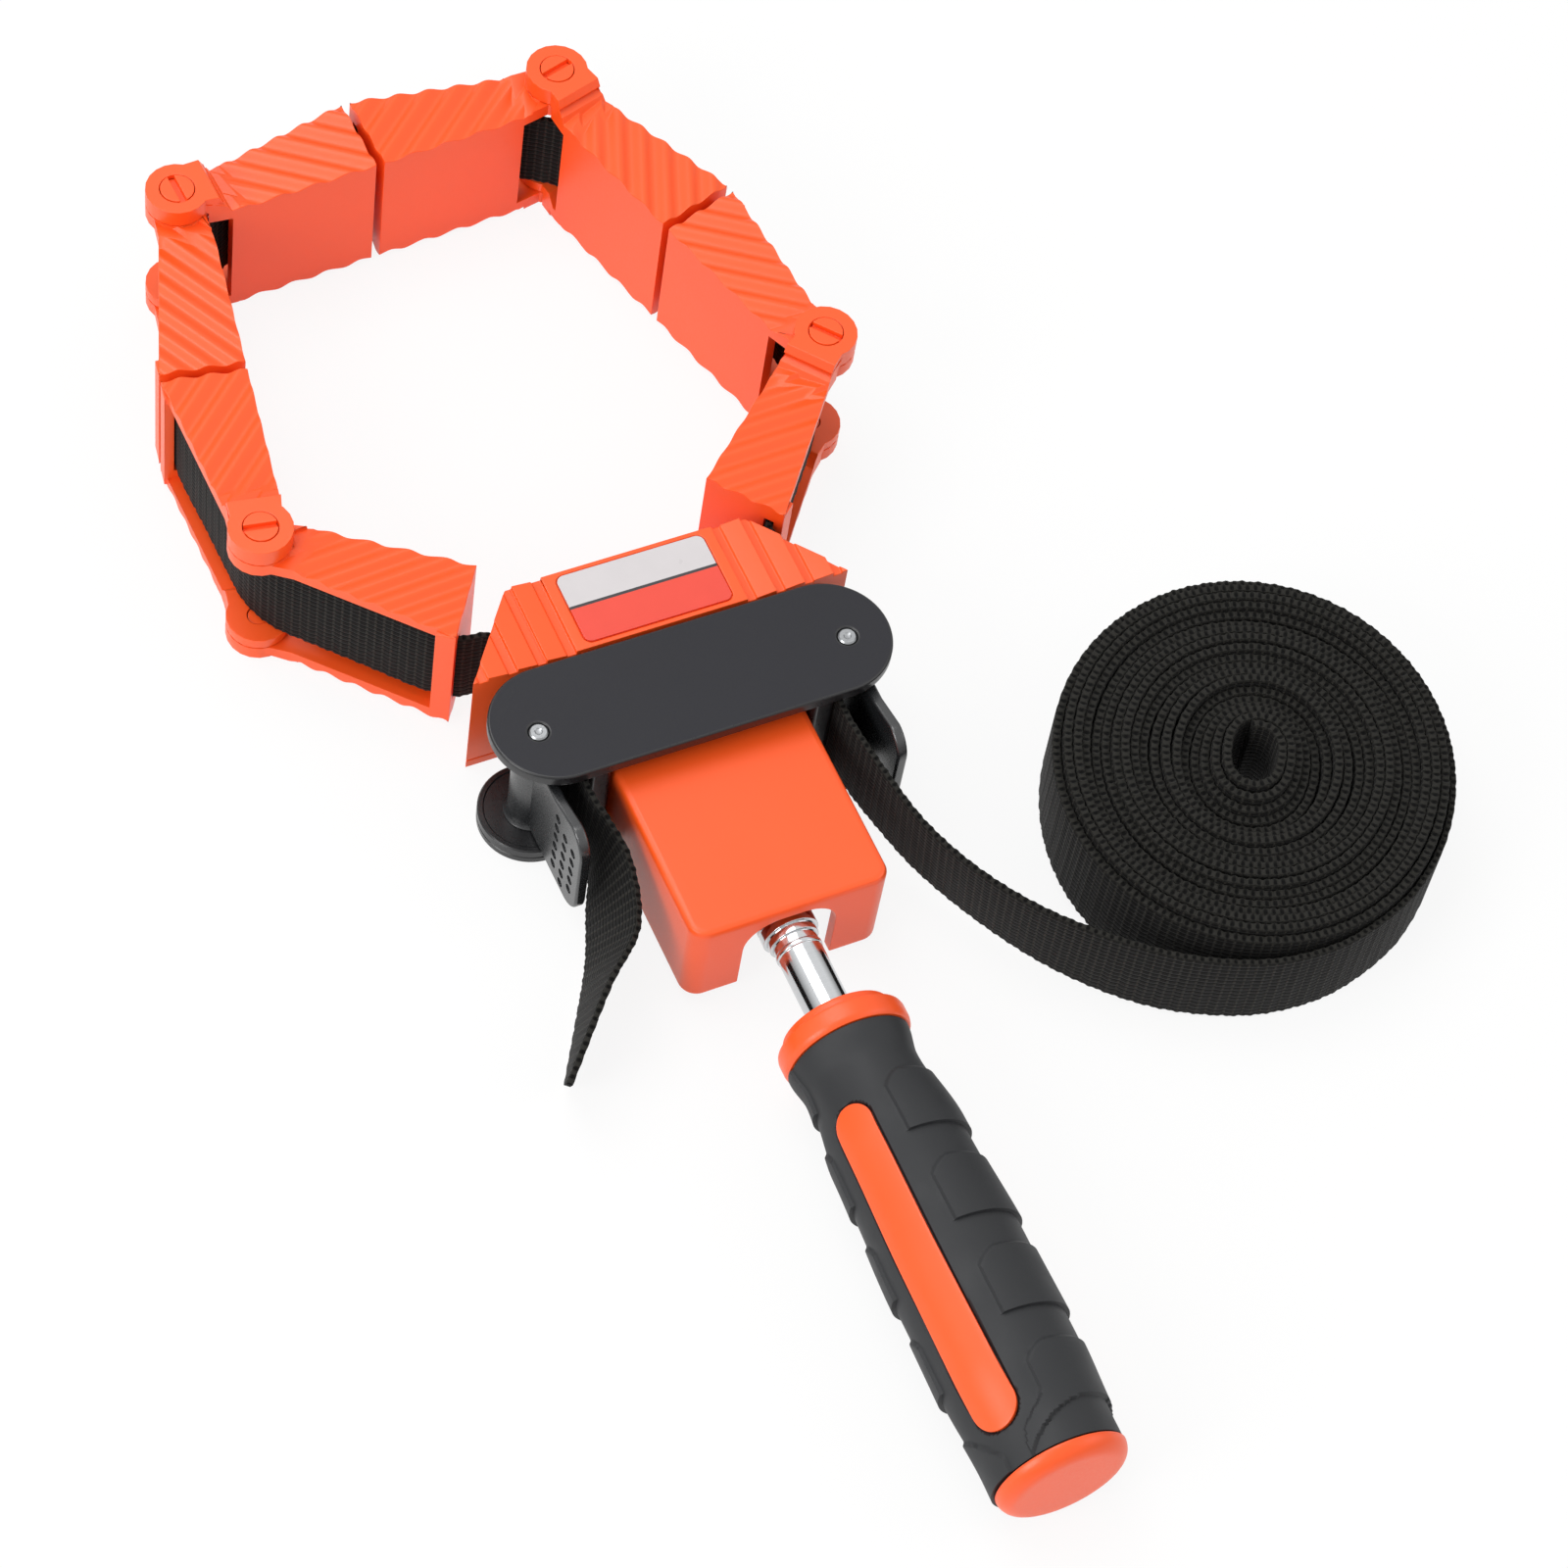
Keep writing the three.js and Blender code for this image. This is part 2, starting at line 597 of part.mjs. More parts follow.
function addHandle(screwBack, sleeveBack) {
  const coreBack = gripBack + SEAT_GAP;
  const edge = 1.2;
  const shoulder = COLLAR_RADIUS - COLLAR_STEP;
  let core = turned([
    [0, coreBack], [CORE_RADIUS, coreBack], [CORE_RADIUS, gripFront + SEAT_GAP],
    [GRIP_START_RADIUS + 0.5, gripFront + SEAT_GAP], [COLLAR_RADIUS, gripFront + SEAT_GAP + edge],
    [COLLAR_RADIUS, collarFront - COLLAR_STEP - edge], [COLLAR_RADIUS - edge, collarFront - COLLAR_STEP],
    [shoulder, collarFront - COLLAR_STEP], [shoulder, collarFront - edge / 2],
    [shoulder - edge / 2, collarFront], [0, collarFront],
  ]);
  const proud = ringedBody(gripPlaces(), ROUND_STEPS, (u) => gripRadius(u) + SEAT_GAP);
  for (const turn of [INLAY_TURN, INLAY_TURN + 180]) {
    core = core.add(inlayBar(0, turn).intersect(proud));
  }
  core = core.subtract(axisBar(SCREW_RADIUS + PIN_PLAY, screwBack - SEAT_GAP, collarFront + 1));
  core = core.subtract(axisBar(SLEEVE_RADIUS + SEAT_GAP, sleeveBack - SEAT_GAP, collarFront + 1));
  add(clamp, 'handle_core', core, orangePlastic);

  let grip = ringedBody(gripPlaces(), GRIP_STEPS, (u, angle) => gripRadius(u) + padRise(u, angle));
  grip = grip.subtract(axisBar(CORE_RADIUS + SEAT_GAP, gripBack - 1, gripFront + 1));
  for (const turn of [INLAY_TURN, INLAY_TURN + 180]) grip = grip.subtract(inlayBar(SEAT_GAP, turn));
  add(clamp, 'handle_grip', grip, blackRubber);

  const capFront = gripBack - SEAT_GAP;
  const capBack = capFront - CAP_LENGTH;
  const dome = CAP_RADIUS / 3;
  const profile = [[0, capFront], [GRIP_END_RADIUS, capFront], [CAP_RADIUS, capFront - 1]];
  for (let i = 0; i <= 4; i += 1) {
    const angle = rad(90 * i / 4);
    profile.push([CAP_RADIUS - dome * (1 - Math.cos(angle)), capBack + dome * (1 - Math.sin(angle))]);
  }
  profile.push([0, capBack - 0.6]);
  add(clamp, 'handle_end_cap', turned(profile), orangePlastic);
}

function hexBar(flats, front, back) {
  const radius = flats / Math.sqrt(3);
  const corners = [0, 1, 2, 3, 4, 5].map((k) => [
    radius * Math.cos(rad(60 * k)), AXIS_Z + radius * Math.sin(rad(60 * k))]);
  return prismAlongY(shapeOf(corners), front, back);
}

function addBridge() {
  const footTop = FOOT_BASE + FOOT_THICK;
  const bossTop = footTop + FOOT_BOSS;
  const plateTop = PLATE_BOTTOM + PLATE_THICK;
  const carrierFront = bridgeY - CARRIER_LENGTH / 2;
  const carrierBack = bridgeY + CARRIER_LENGTH / 2;
  const carrierTop = BOX_TOP - BOX_WALL - 1;
  const nutFront = carrierFront + CARRIER_WALL;
  const half = CARRIER_WIDTH / 2;

  let frame = prism(stadium(pinX, FOOT_RADIUS, bridgeY), FOOT_BASE, footTop);
  for (const side of [-1, 1]) {
    const web = [side * webInner, side * webOuter].sort((a, b) => a - b);
    const plan = roundRect(...web, bridgeY - WEB_DEPTH / 2, bridgeY + WEB_DEPTH / 2, 1.5);
    frame = frame.add(bar(FOOT_RADIUS, side * pinX, bridgeY, FOOT_BASE, bossTop));
    frame = frame.add(prism(plan, FOOT_BASE, PLATE_BOTTOM - SEAT_GAP));
  }
  frame = frame.add(block(-half, half, carrierFront, carrierBack, FOOT_BASE, carrierTop));
  frame = frame.subtract(axisBar(SCREW_RADIUS + 2 * PIN_PLAY, carrierFront - 1, carrierBack + 1));
  frame = frame.subtract(hexBar(NUT_FLATS + 2 * SEAT_GAP, nutFront - SEAT_GAP, carrierBack + 1));
  const outline = stadium(pinX - PLATE_INSET, PLATE_RADIUS, bridgeY);
  let plate = prism(outline, PLATE_BOTTOM, plateTop, PLATE_EDGE);
  for (const side of [-1, 1]) {
    const hole = bar(CAM_PIN_RADIUS + PIN_PLAY, side * pinX, bridgeY, FOOT_BASE + 1, plateTop + 1);
    frame = frame.subtract(hole);
    plate = plate.subtract(hole);
  }
  add(clamp, 'bridge_frame', frame, blackPlastic);
  add(clamp, 'bridge_plate', plate, greyPlastic);
  for (const [name, side] of [['left', -1], ['right', 1]]) {
    const pinBase = FOOT_BASE + 1 + SEAT_GAP;
    const pin = bar(CAM_PIN_RADIUS, side * pinX, bridgeY, pinBase, plateTop + 0.1);
    add(clamp, `cam_pin_${name}`, pin, steel);
    addCamLever(name, side, bossTop + SEAT_GAP, PLATE_BOTTOM - SEAT_GAP);
  }
  const nut = hexBar(NUT_FLATS, nutFront, nutFront + NUT_LENGTH);
  const thread = axisBar(SCREW_RADIUS + PIN_PLAY, nutFront - 1, nutFront + NUT_LENGTH + 1);
  add(clamp, 'screw_nut', nut.subtract(thread), zincSteel);
}

// Cam outline about its pin: full reach against the strap, falling away on the release side
function camShape(side) {
  const steps = 40;
  const points = [];
  for (let i = 0; i < steps; i += 1) {
    const degrees = 360 * i / steps;
    const fall = Math.min(Math.max((180 - degrees) / 45, 0), 1);
    const back = Math.min(Math.max((degrees - 230) / 40, 0), 1);
    const tooth = degrees > 170 && degrees < 235 && i % 2 === 1 ? CAM_RELEASE / 2 : 0;
    const r = camReach - CAM_RELEASE * Math.max(fall, back) - tooth;
    points.push([side * r * Math.cos(rad(degrees)), r * Math.sin(rad(degrees))]);
  }
  return shapeOf(points);
}

// Finger tab in plan, a gently bowed blade that leaves the cam's outer side
function tabShape(side) {
  const inner = [];
  const outer = [];
  for (let i = 0; i <= 6; i += 1) {
    const share = i / 6;
    const y = -TAB_LENGTH * share;
    const bow = 0.4 + 1.2 * Math.sin(Math.PI * share);
    const thick = TAB_THICK * (1 - 0.35 * share * share);
    inner.push([side * bow, y]);
    outer.unshift([side * (bow + thick), y]);
  }
  return shapeOf([...inner, ...outer]);
}

function addCamLever(name, side, low, high) {
  const hub = prism(camShape(side), low, high);
  const profile = roundRect(-TAB_LENGTH, TAB_CORNER, TAB_BASE, TAB_TOP, TAB_CORNER);
  const reach = 2 * TAB_THICK;
  const tab = prism(tabShape(side), low, high).intersect(prismAlongX(profile, -reach, reach));
  const lever = hub.add(tab).subtract(bar(CAM_PIN_RADIUS + PIN_PLAY, 0, 0, low - 1, high + 1));
  const pivot = new THREE.Group();
  pivot.position.set(side * pinX, bridgeY, 0);
  clamp.add(pivot);
  add(pivot, `cam_lever_${name}`, lever, blackPlastic);
}

// Layout of the loop: each half-jaw has its hinge, its direction and the side that faces out
function jawFrame(hinge, angle, side) {
  const along = vec(Math.cos(angle), Math.sin(angle));
  const out = vec(-side * along.y, side * along.x);
  return { hinge, angle, side, along, out };
}

function hingeFromHead(entry, lead, angle, side) {
  const slot = entry.clone().addScaledVector(vec(Math.cos(lead), Math.sin(lead)), HEAD_GAP);
  const { along, out } = jawFrame(slot, angle, side);
  return slot.addScaledVector(along, -JAW_REACH).addScaledVector(out, -JAW_SLOT);
}

const run = 2 * JAW_REACH + JAW_GAP;
const entryLeft = vec(-entryX, HEAD_ENTRY_Y);
const entryRight = vec(entryX, HEAD_ENTRY_Y);
const nearLeft = hingeFromHead(entryLeft, rad(LEAD_LEFT), rad(NEAR_LEFT_HEAD_ANGLE), -1);
const nearRight = hingeFromHead(entryRight, rad(LEAD_RIGHT), rad(NEAR_RIGHT_HEAD_ANGLE), 1);
const leftRun = vec(Math.cos(rad(LEFT_RUN_ANGLE)), Math.sin(rad(LEFT_RUN_ANGLE)));
const farLeft = nearLeft.clone().addScaledVector(leftRun, run);
const span = nearRight.clone().sub(farLeft);
const rise = Math.sqrt(run * run - span.lengthSq() / 4);
const farRight = farLeft.clone().addScaledVector(span, 0.5)
  .add(vec(-span.y, span.x).normalize().multiplyScalar(rise));
const heading = (from, to) => Math.atan2(to.y - from.y, to.x - from.x);

const corners = {
  near_left: {
    bend: NEAR_BEND,
    offset: NEAR_OFFSET,
    lower: ['head', jawFrame(nearLeft, rad(NEAR_LEFT_HEAD_ANGLE), -1)],
    upper: ['side', jawFrame(nearLeft, heading(nearLeft, farLeft), 1)],
  },
  far_left: {
    bend: FAR_BEND,
    offset: FAR_OFFSET,
    lower: ['side', jawFrame(farLeft, heading(farLeft, nearLeft), -1)],
    upper: ['end', jawFrame(farLeft, heading(farLeft, farRight), 1)],
  },
  far_right: {
    bend: FAR_BEND,
    offset: FAR_OFFSET,
    lower: ['end', jawFrame(farRight, heading(farRight, farLeft), -1)],
    upper: ['side', jawFrame(farRight, heading(farRight, nearRight), 1)],
  },
  near_right: {
    bend: NEAR_BEND,
    offset: NEAR_OFFSET,
    lower: ['side', jawFrame(nearRight, heading(nearRight, farRight), -1)],
    upper: ['head', jawFrame(nearRight, rad(NEAR_RIGHT_HEAD_ANGLE), 1)],
  },
};

// Half-jaws are drawn in their own frame: hinge at the origin, work face along +X,
// and the outside of the loop on the given side of it
function flangeShape(side) {
  const inner = -JAW_INNER;
  return shapeOf([
    [0, inner * 0.75], [JAW_WALL_START, inner], [JAW_REACH, inner], [JAW_REACH, JAW_OUTER_END],
    [JAW_NECK, JAW_OUTER_NECK], [0, JAW_OUTER_NECK],
  ].map(([s, t]) => [s, side * t]));
}

// Row of sawtooth grooves across the ribbed faces, as one solid to cut away
function ribCutter(side, top, up) {
  const reach = JAW_REACH + JAW_OUTER_END;
  const teeth = [];
  for (let u = RIB_FIRST; u < reach; u += RIB_PITCH) {
    teeth.push([u, -up * RIB_DEPTH], [u + RIB_PITCH * RIB_RAMP, 0]);
  }
  const clear = 2 * up * RIB_DEPTH;
  const outline = shapeOf([...teeth, [teeth.at(-1)[0], clear], [RIB_FIRST, clear]]);
  const rows = extrude(outline, 2 * reach).rotateX(Math.PI / 2).translate(0, reach, 0);
  return solid(rows.rotateZ(side * rad(90 + RIB_ANGLE)).translate(0, 0, top));
}

function halfJaw(side, upper) {
  const top = JAW_HEIGHT;
  const ceiling = top - JAW_FLANGE;
  const inner = [-JAW_INNER, -JAW_INNER + JAW_WALL].map((t) => side * t).sort((a, b) => a - b);
  const end = [-JAW_INNER, JAW_OUTER_END].map((t) => side * t).sort((a, b) => a - b);
  const slot = [JAW_SLOT - STRAP_THICK / 2 - STRAP_PLAY, JAW_SLOT + STRAP_THICK / 2 + STRAP_PLAY]
    .map((t) => side * t).sort((a, b) => a - b);
  let flanges = prism(flangeShape(side), 0, JAW_FLANGE).add(prism(flangeShape(side), ceiling, top));
  flanges = flanges.subtract(ribCutter(side, top, 1)).subtract(ribCutter(side, 0, -1));
  let jaw = flanges
    .add(block(JAW_WALL_START, JAW_REACH, ...inner, JAW_FLANGE / 2, top - JAW_FLANGE / 2))
    .add(block(JAW_REACH - JAW_END_WALL, JAW_REACH, ...end, JAW_FLANGE / 2, top - JAW_FLANGE / 2));
  jaw = jaw.subtract(block(JAW_REACH - JAW_END_WALL - 1, JAW_REACH + 1, ...slot,
    STRAP_BASE - STRAP_PLAY, STRAP_TOP + STRAP_PLAY));
  return upper ? raisedEars(jaw, side) : plainEars(jaw);
}

// Lower ears lie in the plane of the flanges
function plainEars(jaw) {
  const ceiling = JAW_HEIGHT - JAW_FLANGE;
  const hole = bar(JAW_PIN_RADIUS + PIN_PLAY, 0, 0, -1, JAW_HEIGHT + 1);
  return jaw
    .add(bar(EAR_RADIUS, 0, 0, 0, JAW_FLANGE))
    .add(bar(EAR_RADIUS, 0, 0, ceiling, JAW_HEIGHT))
    .subtract(hole);
}

// Raised ears lie on top of the plain ears, and ramp down to the flanges
function raisedEars(jaw, side) {
  const earBase = JAW_HEIGHT + SEAT_GAP;
  const earTop = earBase + EAR_THICK;
  const lowBase = JAW_FLANGE + SEAT_GAP;
  const lowTop = lowBase + LOW_EAR_THICK;
  const swing = EAR_RADIUS + 2 * SEAT_GAP;
  const foot = EAR_NECK + EAR_RAMP;
  const under = JAW_HEIGHT - JAW_FLANGE / 2;
  const ramp = (low, high) => {
    const profile = shapeOf([[0, low], [foot, low], [EAR_NECK, high], [0, high]]);
    const width = [-JAW_INNER, EAR_RADIUS].map((t) => side * t).sort((a, b) => a - b);
    const wedge = prismAlongY(profile, ...width);
    return wedge.intersect(prism(flangeShape(side), 0, earTop + 1));
  };
  const topRoom = bar(swing, 0, 0, JAW_HEIGHT - 2 * JAW_FLANGE, earBase);
  const lowRoom = bar(swing, 0, 0, -1, lowBase);
  const headRoom = bar(JAW_PIN_HEAD + PIN_PLAY, 0, 0, earTop - JAW_PIN_HEAD_DEPTH, earTop + 1);
  return jaw
    .add(ramp(under, earTop))
    .add(ramp(JAW_FLANGE / 2, lowTop))
    .subtract(topRoom)
    .subtract(lowRoom)
    .add(bar(EAR_RADIUS, 0, 0, earBase, earTop))
    .add(bar(EAR_RADIUS, 0, 0, lowBase, lowTop))
    .subtract(headRoom)
    .subtract(bar(JAW_PIN_RADIUS + PIN_PLAY, 0, 0, -1, earTop + 1));
}

// Split-head pin through an upper pair of ears, and a plain one through the lower pair
function topPin() {
  const earTop = JAW_HEIGHT + SEAT_GAP + EAR_THICK;
  const headBase = earTop - JAW_PIN_HEAD_DEPTH + SEAT_GAP;
  const half = JAW_PIN_SLOT / 2;
  const slot = block(-half, half, -EAR_RADIUS, EAR_RADIUS, headBase + 0.4, earTop + 2);
  return bar(JAW_PIN_RADIUS, 0, 0, JAW_HEIGHT - JAW_FLANGE + SEAT_GAP, headBase + 0.2)
    .add(bar(JAW_PIN_HEAD, 0, 0, headBase, earTop + 0.2))
    .subtract(slot);
}

function lowPin() {
  return bar(JAW_PIN_RADIUS, 0, 0, SEAT_GAP, JAW_FLANGE + SEAT_GAP + LOW_EAR_THICK - SEAT_GAP);
}

// Strap line in a half-jaw's own frame: round the corner, then straight to the slot
function halfStrap(side, halfAngle, bend, offset) {
  const back = bend - offset;
  const centre = [back * Math.cos(halfAngle), -back * Math.sin(halfAngle)];
  const exit = [JAW_REACH + JAW_GAP / 2 - SEAT_GAP / 2, JAW_SLOT];
  const mouth = JAW_REACH - JAW_END_WALL - STRAP_THICK;
  const away = [mouth - centre[0], JAW_SLOT - centre[1]];
  const start = Math.PI - halfAngle - CORNER_SLIT / bend;
  const turnEnd = Math.atan2(away[1], away[0]) + Math.acos(bend / Math.hypot(...away));
  const route = [];
  const steps = 6;
  for (let i = 0; i <= steps; i += 1) {
    const angle = start + (turnEnd - start) * i / steps;
    route.push([centre[0] + bend * Math.cos(angle), centre[1] + bend * Math.sin(angle)]);
  }
  route.push([mouth, JAW_SLOT], [JAW_REACH + SEAT_GAP, JAW_SLOT], exit);
  return route.map(([s, t]) => [s, side * t, STRAP_BASE]);
}

function addJaws() {
  for (const [corner, { bend, offset, lower, upper }] of Object.entries(corners)) {
    const open = Math.abs(lower[1].angle - upper[1].angle);
    const halfAngle = Math.min(open, 2 * Math.PI - open) / 2;
    for (const [[place, frame], raised] of [[lower, false], [upper, true]]) {
      const half = new THREE.Group();
      half.position.copy(frame.hinge);
      half.rotation.z = frame.angle;
      clamp.add(half);
      add(half, `jaw_${corner}_${place}`, halfJaw(frame.side, raised), orangePlastic);
      const strap = halfStrap(frame.side, halfAngle, bend, offset);
      if (place === 'head') strap.splice(-1, 1, headLead(frame));
      add(half, `strap_${corner}_${place}`, ribbon(upright(strap)), webbing);
      if (raised) {
        add(half, `pin_top_${corner}`, topPin(), orangePlastic);
        add(half, `pin_bottom_${corner}`, lowPin(), orangePlastic);
      }
    }
  }
}

// End of the strap that leads from a jaw to the head, in the half-jaw's own frame
function headLead(frame) {
  const towards = frame.hinge.x < 0 ? entryLeft : entryRight;
  const local = towards.clone().sub(frame.hinge);
  const s = local.dot(frame.along);
  const t = local.dot(frame.out);
  const short = (HEAD_GAP - STRAP_THICK - 2 * SEAT_GAP) / HEAD_GAP;
  return [
    JAW_REACH + (s - JAW_REACH) * short,
    frame.side * (JAW_SLOT + (t - JAW_SLOT) * short),
    STRAP_BASE,
  ];
}

function addStrapInHead() {
  for (const [name, side] of [['left', -1], ['right', 1]]) {
    const route = [[side * strapX, headRear, STRAP_BASE], [side * entryOut.x, entryOut.y, STRAP_BASE]];
    add(clamp, `strap_head_${name}`, ribbon(upright(route)), webbing);
    const held = [
      [side * strapX, headRear - 2 * SEAT_GAP, STRAP_BASE],
      [side * strapX, bridgeBack - SEAT_GAP, STRAP_BASE],
    ];
    add(clamp, `strap_bridge_${name}`, ribbon(upright(held)), webbing);
  }
}

// Point of the roll's midline, a number of turns in from the free strap
function coilPoint(turns) {
  const angle = rad(COIL_START) + 2 * Math.PI * turns;
  const swell = 1 + COIL_STRETCH * Math.cos(2 * (angle - rad(COIL_LEAN)));
  const r = (COIL_RADIUS - STRAP_THICK / 2 - COIL_PITCH * turns) * swell;
  return vec(COIL_X + r * Math.cos(angle), COIL_Y + r * Math.sin(angle), COIL_BASE);
}

// Free strap: straight out of the bridge, then along its route to the roll
function addFreeStrap() {
  const meet = coilPoint(0);
  const along = coilPoint(1 / STEPS_PER_TURN).sub(coilPoint(-1 / STEPS_PER_TURN)).normalize();
  const step = (d) => meet.clone().addScaledVector(along, -d);
  const leave = bridgeBack - 2 * SEAT_GAP;
  const guide = [
    vec(strapX, leave, STRAP_BASE),
    vec(strapX, leave - LEAD_OUT, STRAP_BASE),
    ...FREE_ROUTE.map((point) => vec(...point)),
    step(LEAD_OUT),
    step(SEAT_GAP),
  ];
  const curve = new THREE.CatmullRomCurve3(guide, false, 'centripetal');
  const stations = upright(curve.getPoints(FREE_STEPS).map((p) => [p.x, p.y, p.z]));
  stations.forEach(({ low, face }, i) => {
    const share = Math.min(i / FREE_STEPS / FREE_LEAN_SHARE, 1);
    low.addScaledVector(face, -FREE_LEAN * Math.sin(Math.PI * share) ** 2);
  });
  add(clamp, 'strap_free', ribbon(stations), webbing);
  return curve.getLength();
}

// Roll of spare strap, wound inwards from the free strap
function coilRoute() {
  const route = [];
  for (let i = 0; i <= COIL_TURNS * STEPS_PER_TURN; i += 1) {
    const p = coilPoint(i / STEPS_PER_TURN);
    route.push([p.x, p.y, p.z]);
  }
  return route;
}

function routeLength(route) {
  let length = 0;
  for (let i = 1; i < route.length; i += 1) {
    length += Math.hypot(route[i][0] - route[i - 1][0], route[i][1] - route[i - 1][1]);
  }
  return length;
}

// Least gap between one turn of the roll and the next, from the distances of their midlines
function coilGap(route) {
  let least = Infinity;
  for (let i = 0; i + STEPS_PER_TURN + 1 < route.length; i += 1) {
    const p = route[i];
    const [a, b] = [route[i + STEPS_PER_TURN], route[i + STEPS_PER_TURN + 1]];
    const along = vec(b[0] - a[0], b[1] - a[1]).normalize();
    const apart = Math.abs((p[0] - a[0]) * along.y - (p[1] - a[1]) * along.x);
    least = Math.min(least, apart - STRAP_THICK);
  }
  return least;
}

// Tail of the strap, leaning outwards as it leaves the bridge
function addTail() {
  const leave = bridgeBack - 2 * SEAT_GAP;
  const start = (y) => [[-strapX, y, STRAP_BASE], [-strapX, y, STRAP_TOP]];
  const guide = [start(leave), start(leave - 3), ...TAIL_ROUTE];
  const edge = (k) => guide.map((pair) => vec(...pair[k]));
  const smooth = (k) => new THREE.CatmullRomCurve3(edge(k), false, 'centripetal');
  const [lower, upper] = [smooth(0).getPoints(TAIL_STEPS), smooth(1).getPoints(TAIL_STEPS)];
  const stations = lower.map((low, i) => {
    const middle = (k) => lower[k].clone().add(upper[k]).multiplyScalar(0.5);
    const along = middle(Math.min(i + 1, TAIL_STEPS)).sub(middle(Math.max(i - 1, 0)));
    const across = upper[i].clone().sub(low).normalize();
    const centre = middle(i);
    return {
      low: centre.clone().addScaledVector(across, -STRAP_WIDTH / 2),
      high: centre.clone().addScaledVector(across, STRAP_WIDTH / 2),
      face: along.cross(across).normalize(),
    };
  });
  add(clamp, 'strap_tail', ribbon(stations), webbing);
}

addHousing();
addScrewAndHandle();
addBridge();
addJaws();
addStrapInHead();
addTail();
const freeLength = addFreeStrap();
const coil = coilRoute();
add(clamp, 'strap_coil', ribbon(upright(coil)), webbing);
console.log(`roll: least gap ${coilGap(coil).toFixed(2)} mm, length ${routeLength(coil).toFixed(0)} mm`);
console.log(`free strap: ${freeLength.toFixed(0)} mm`);

export default clamp;
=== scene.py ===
"""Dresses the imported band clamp: woven strap, moulded jaws, bridge, cam levers and screw handle."""
import json
import math

import bpy
from bpy.props import FloatProperty, FloatVectorProperty, IntProperty, PointerProperty
from mathutils import Matrix, Vector


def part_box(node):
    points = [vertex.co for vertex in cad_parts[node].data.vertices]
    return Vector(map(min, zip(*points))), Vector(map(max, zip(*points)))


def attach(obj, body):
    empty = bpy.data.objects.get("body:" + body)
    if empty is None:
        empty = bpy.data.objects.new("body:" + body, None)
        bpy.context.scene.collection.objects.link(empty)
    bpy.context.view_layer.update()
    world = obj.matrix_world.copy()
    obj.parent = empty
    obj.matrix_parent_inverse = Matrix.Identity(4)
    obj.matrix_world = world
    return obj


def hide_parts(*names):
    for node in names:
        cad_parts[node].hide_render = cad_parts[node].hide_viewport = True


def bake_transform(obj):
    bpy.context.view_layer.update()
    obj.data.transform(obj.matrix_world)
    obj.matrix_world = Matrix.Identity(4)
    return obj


bl_info = {
    "name": "Strap band clamp",
    "version": (1, 0, 0),
    "blender": (4, 5, 0),
    "location": "3D View > Sidebar > Clamp",
    "description": "Builds the visible pieces of a band clamp around its packed frame",
    "category": "Add Mesh",
}

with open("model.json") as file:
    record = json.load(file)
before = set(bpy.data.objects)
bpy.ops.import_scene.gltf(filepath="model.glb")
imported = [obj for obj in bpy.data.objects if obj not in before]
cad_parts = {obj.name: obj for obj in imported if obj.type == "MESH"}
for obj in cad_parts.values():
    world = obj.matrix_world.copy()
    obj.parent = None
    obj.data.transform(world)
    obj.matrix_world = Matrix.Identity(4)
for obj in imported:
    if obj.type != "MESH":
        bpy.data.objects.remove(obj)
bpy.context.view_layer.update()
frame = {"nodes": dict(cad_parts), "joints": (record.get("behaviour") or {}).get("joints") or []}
JOINTS = {joint["name"]: joint for joint in frame["joints"]}
MM = 0.001
HANDS = (("left", -1), ("right", 1))

# Points of a seam, in metres, are merged. In millimetres, a hair keeps two ends or corners from meeting,
# and a cut or a test reaches clear of a face
SEAM = 2e-6
HAIR = 0.01
CLEAR = 1

# Faces of a CAD node within the first angle are one flat face, and edges past the second are rounded
FLAT_ANGLE = math.radians(0.6)
ROUNDED_ANGLE = math.radians(35)

# Camera, solved from the photograph: target, line of sight, distance, roll, lens and sensor
TARGET = Vector((8.21, -64.08, 39)) * MM
SIGHT = Vector((0.3028, 0.4591, -0.8351)).normalized()
DISTANCE = 1142.3 * MM
ROLL = math.radians(11.175)
LENS = 111.55
SENSOR = 36

# Soft boxes: place, size and power of each in metres and watts, and the point that all of them face
LAMPS = (
    ((-0.3, 0.5, 1.4), 1.0, 9.0),
    ((-1.2, -0.35, 0.8), 0.7, 9.0),
    ((1.3, -0.6, 1.0), 1.0, 3.0),
)
LAMP_AIM = Vector((0, -0.04, 0))

# White room: its fill, what reflections see at the horizon and overhead, and the paper's own white, its
# drop in millimetres and its size in metres
FILL = 0.62
HORIZON = 0.05
HORIZON_LIGHT = 0.3
OVERHEAD = 0.6
OVERHEAD_LIGHT = 1.0
PAPER_WHITE = 0.88
PAPER_DROP = 0.2
PAPER_SIZE = 8

# Strap in millimetres: its size, the places of the frame that it follows, and its bends in the jaws
STRAP_WIDTH = 25
STRAP_THICK = 1.6
STRAP_BASE = 7.6
ROUTE_STEPS = 24
HEAD_REAR = -11.5
STRAP_X = 33.2
ENTRY = (38.4, 2.7)
ENTRY_OUT = (38.95, 4.2)
BRIDGE_BACK = -44.9
BRIDGE_INSIDE = BRIDGE_BACK + 2
BRIDGE_GUIDES = (-20, -30)
SPAN_LAP = 0.02
JAW_REACH = 51.6
JAW_END_WALL = 5.0
JAW_MOUTH = JAW_REACH - JAW_END_WALL - STRAP_THICK
JAW_SLOT = 10.6
JAW_GAP = 2.2
NEAR_BEND = (26.0, 0.0)
FAR_BEND = (48.0, -7.0)
BEND_STEPS = 12
NEAR_LEFT_HEAD_ANGLE = math.radians(-35.3)
NEAR_RIGHT_HEAD_ANGLE = math.radians(-140)

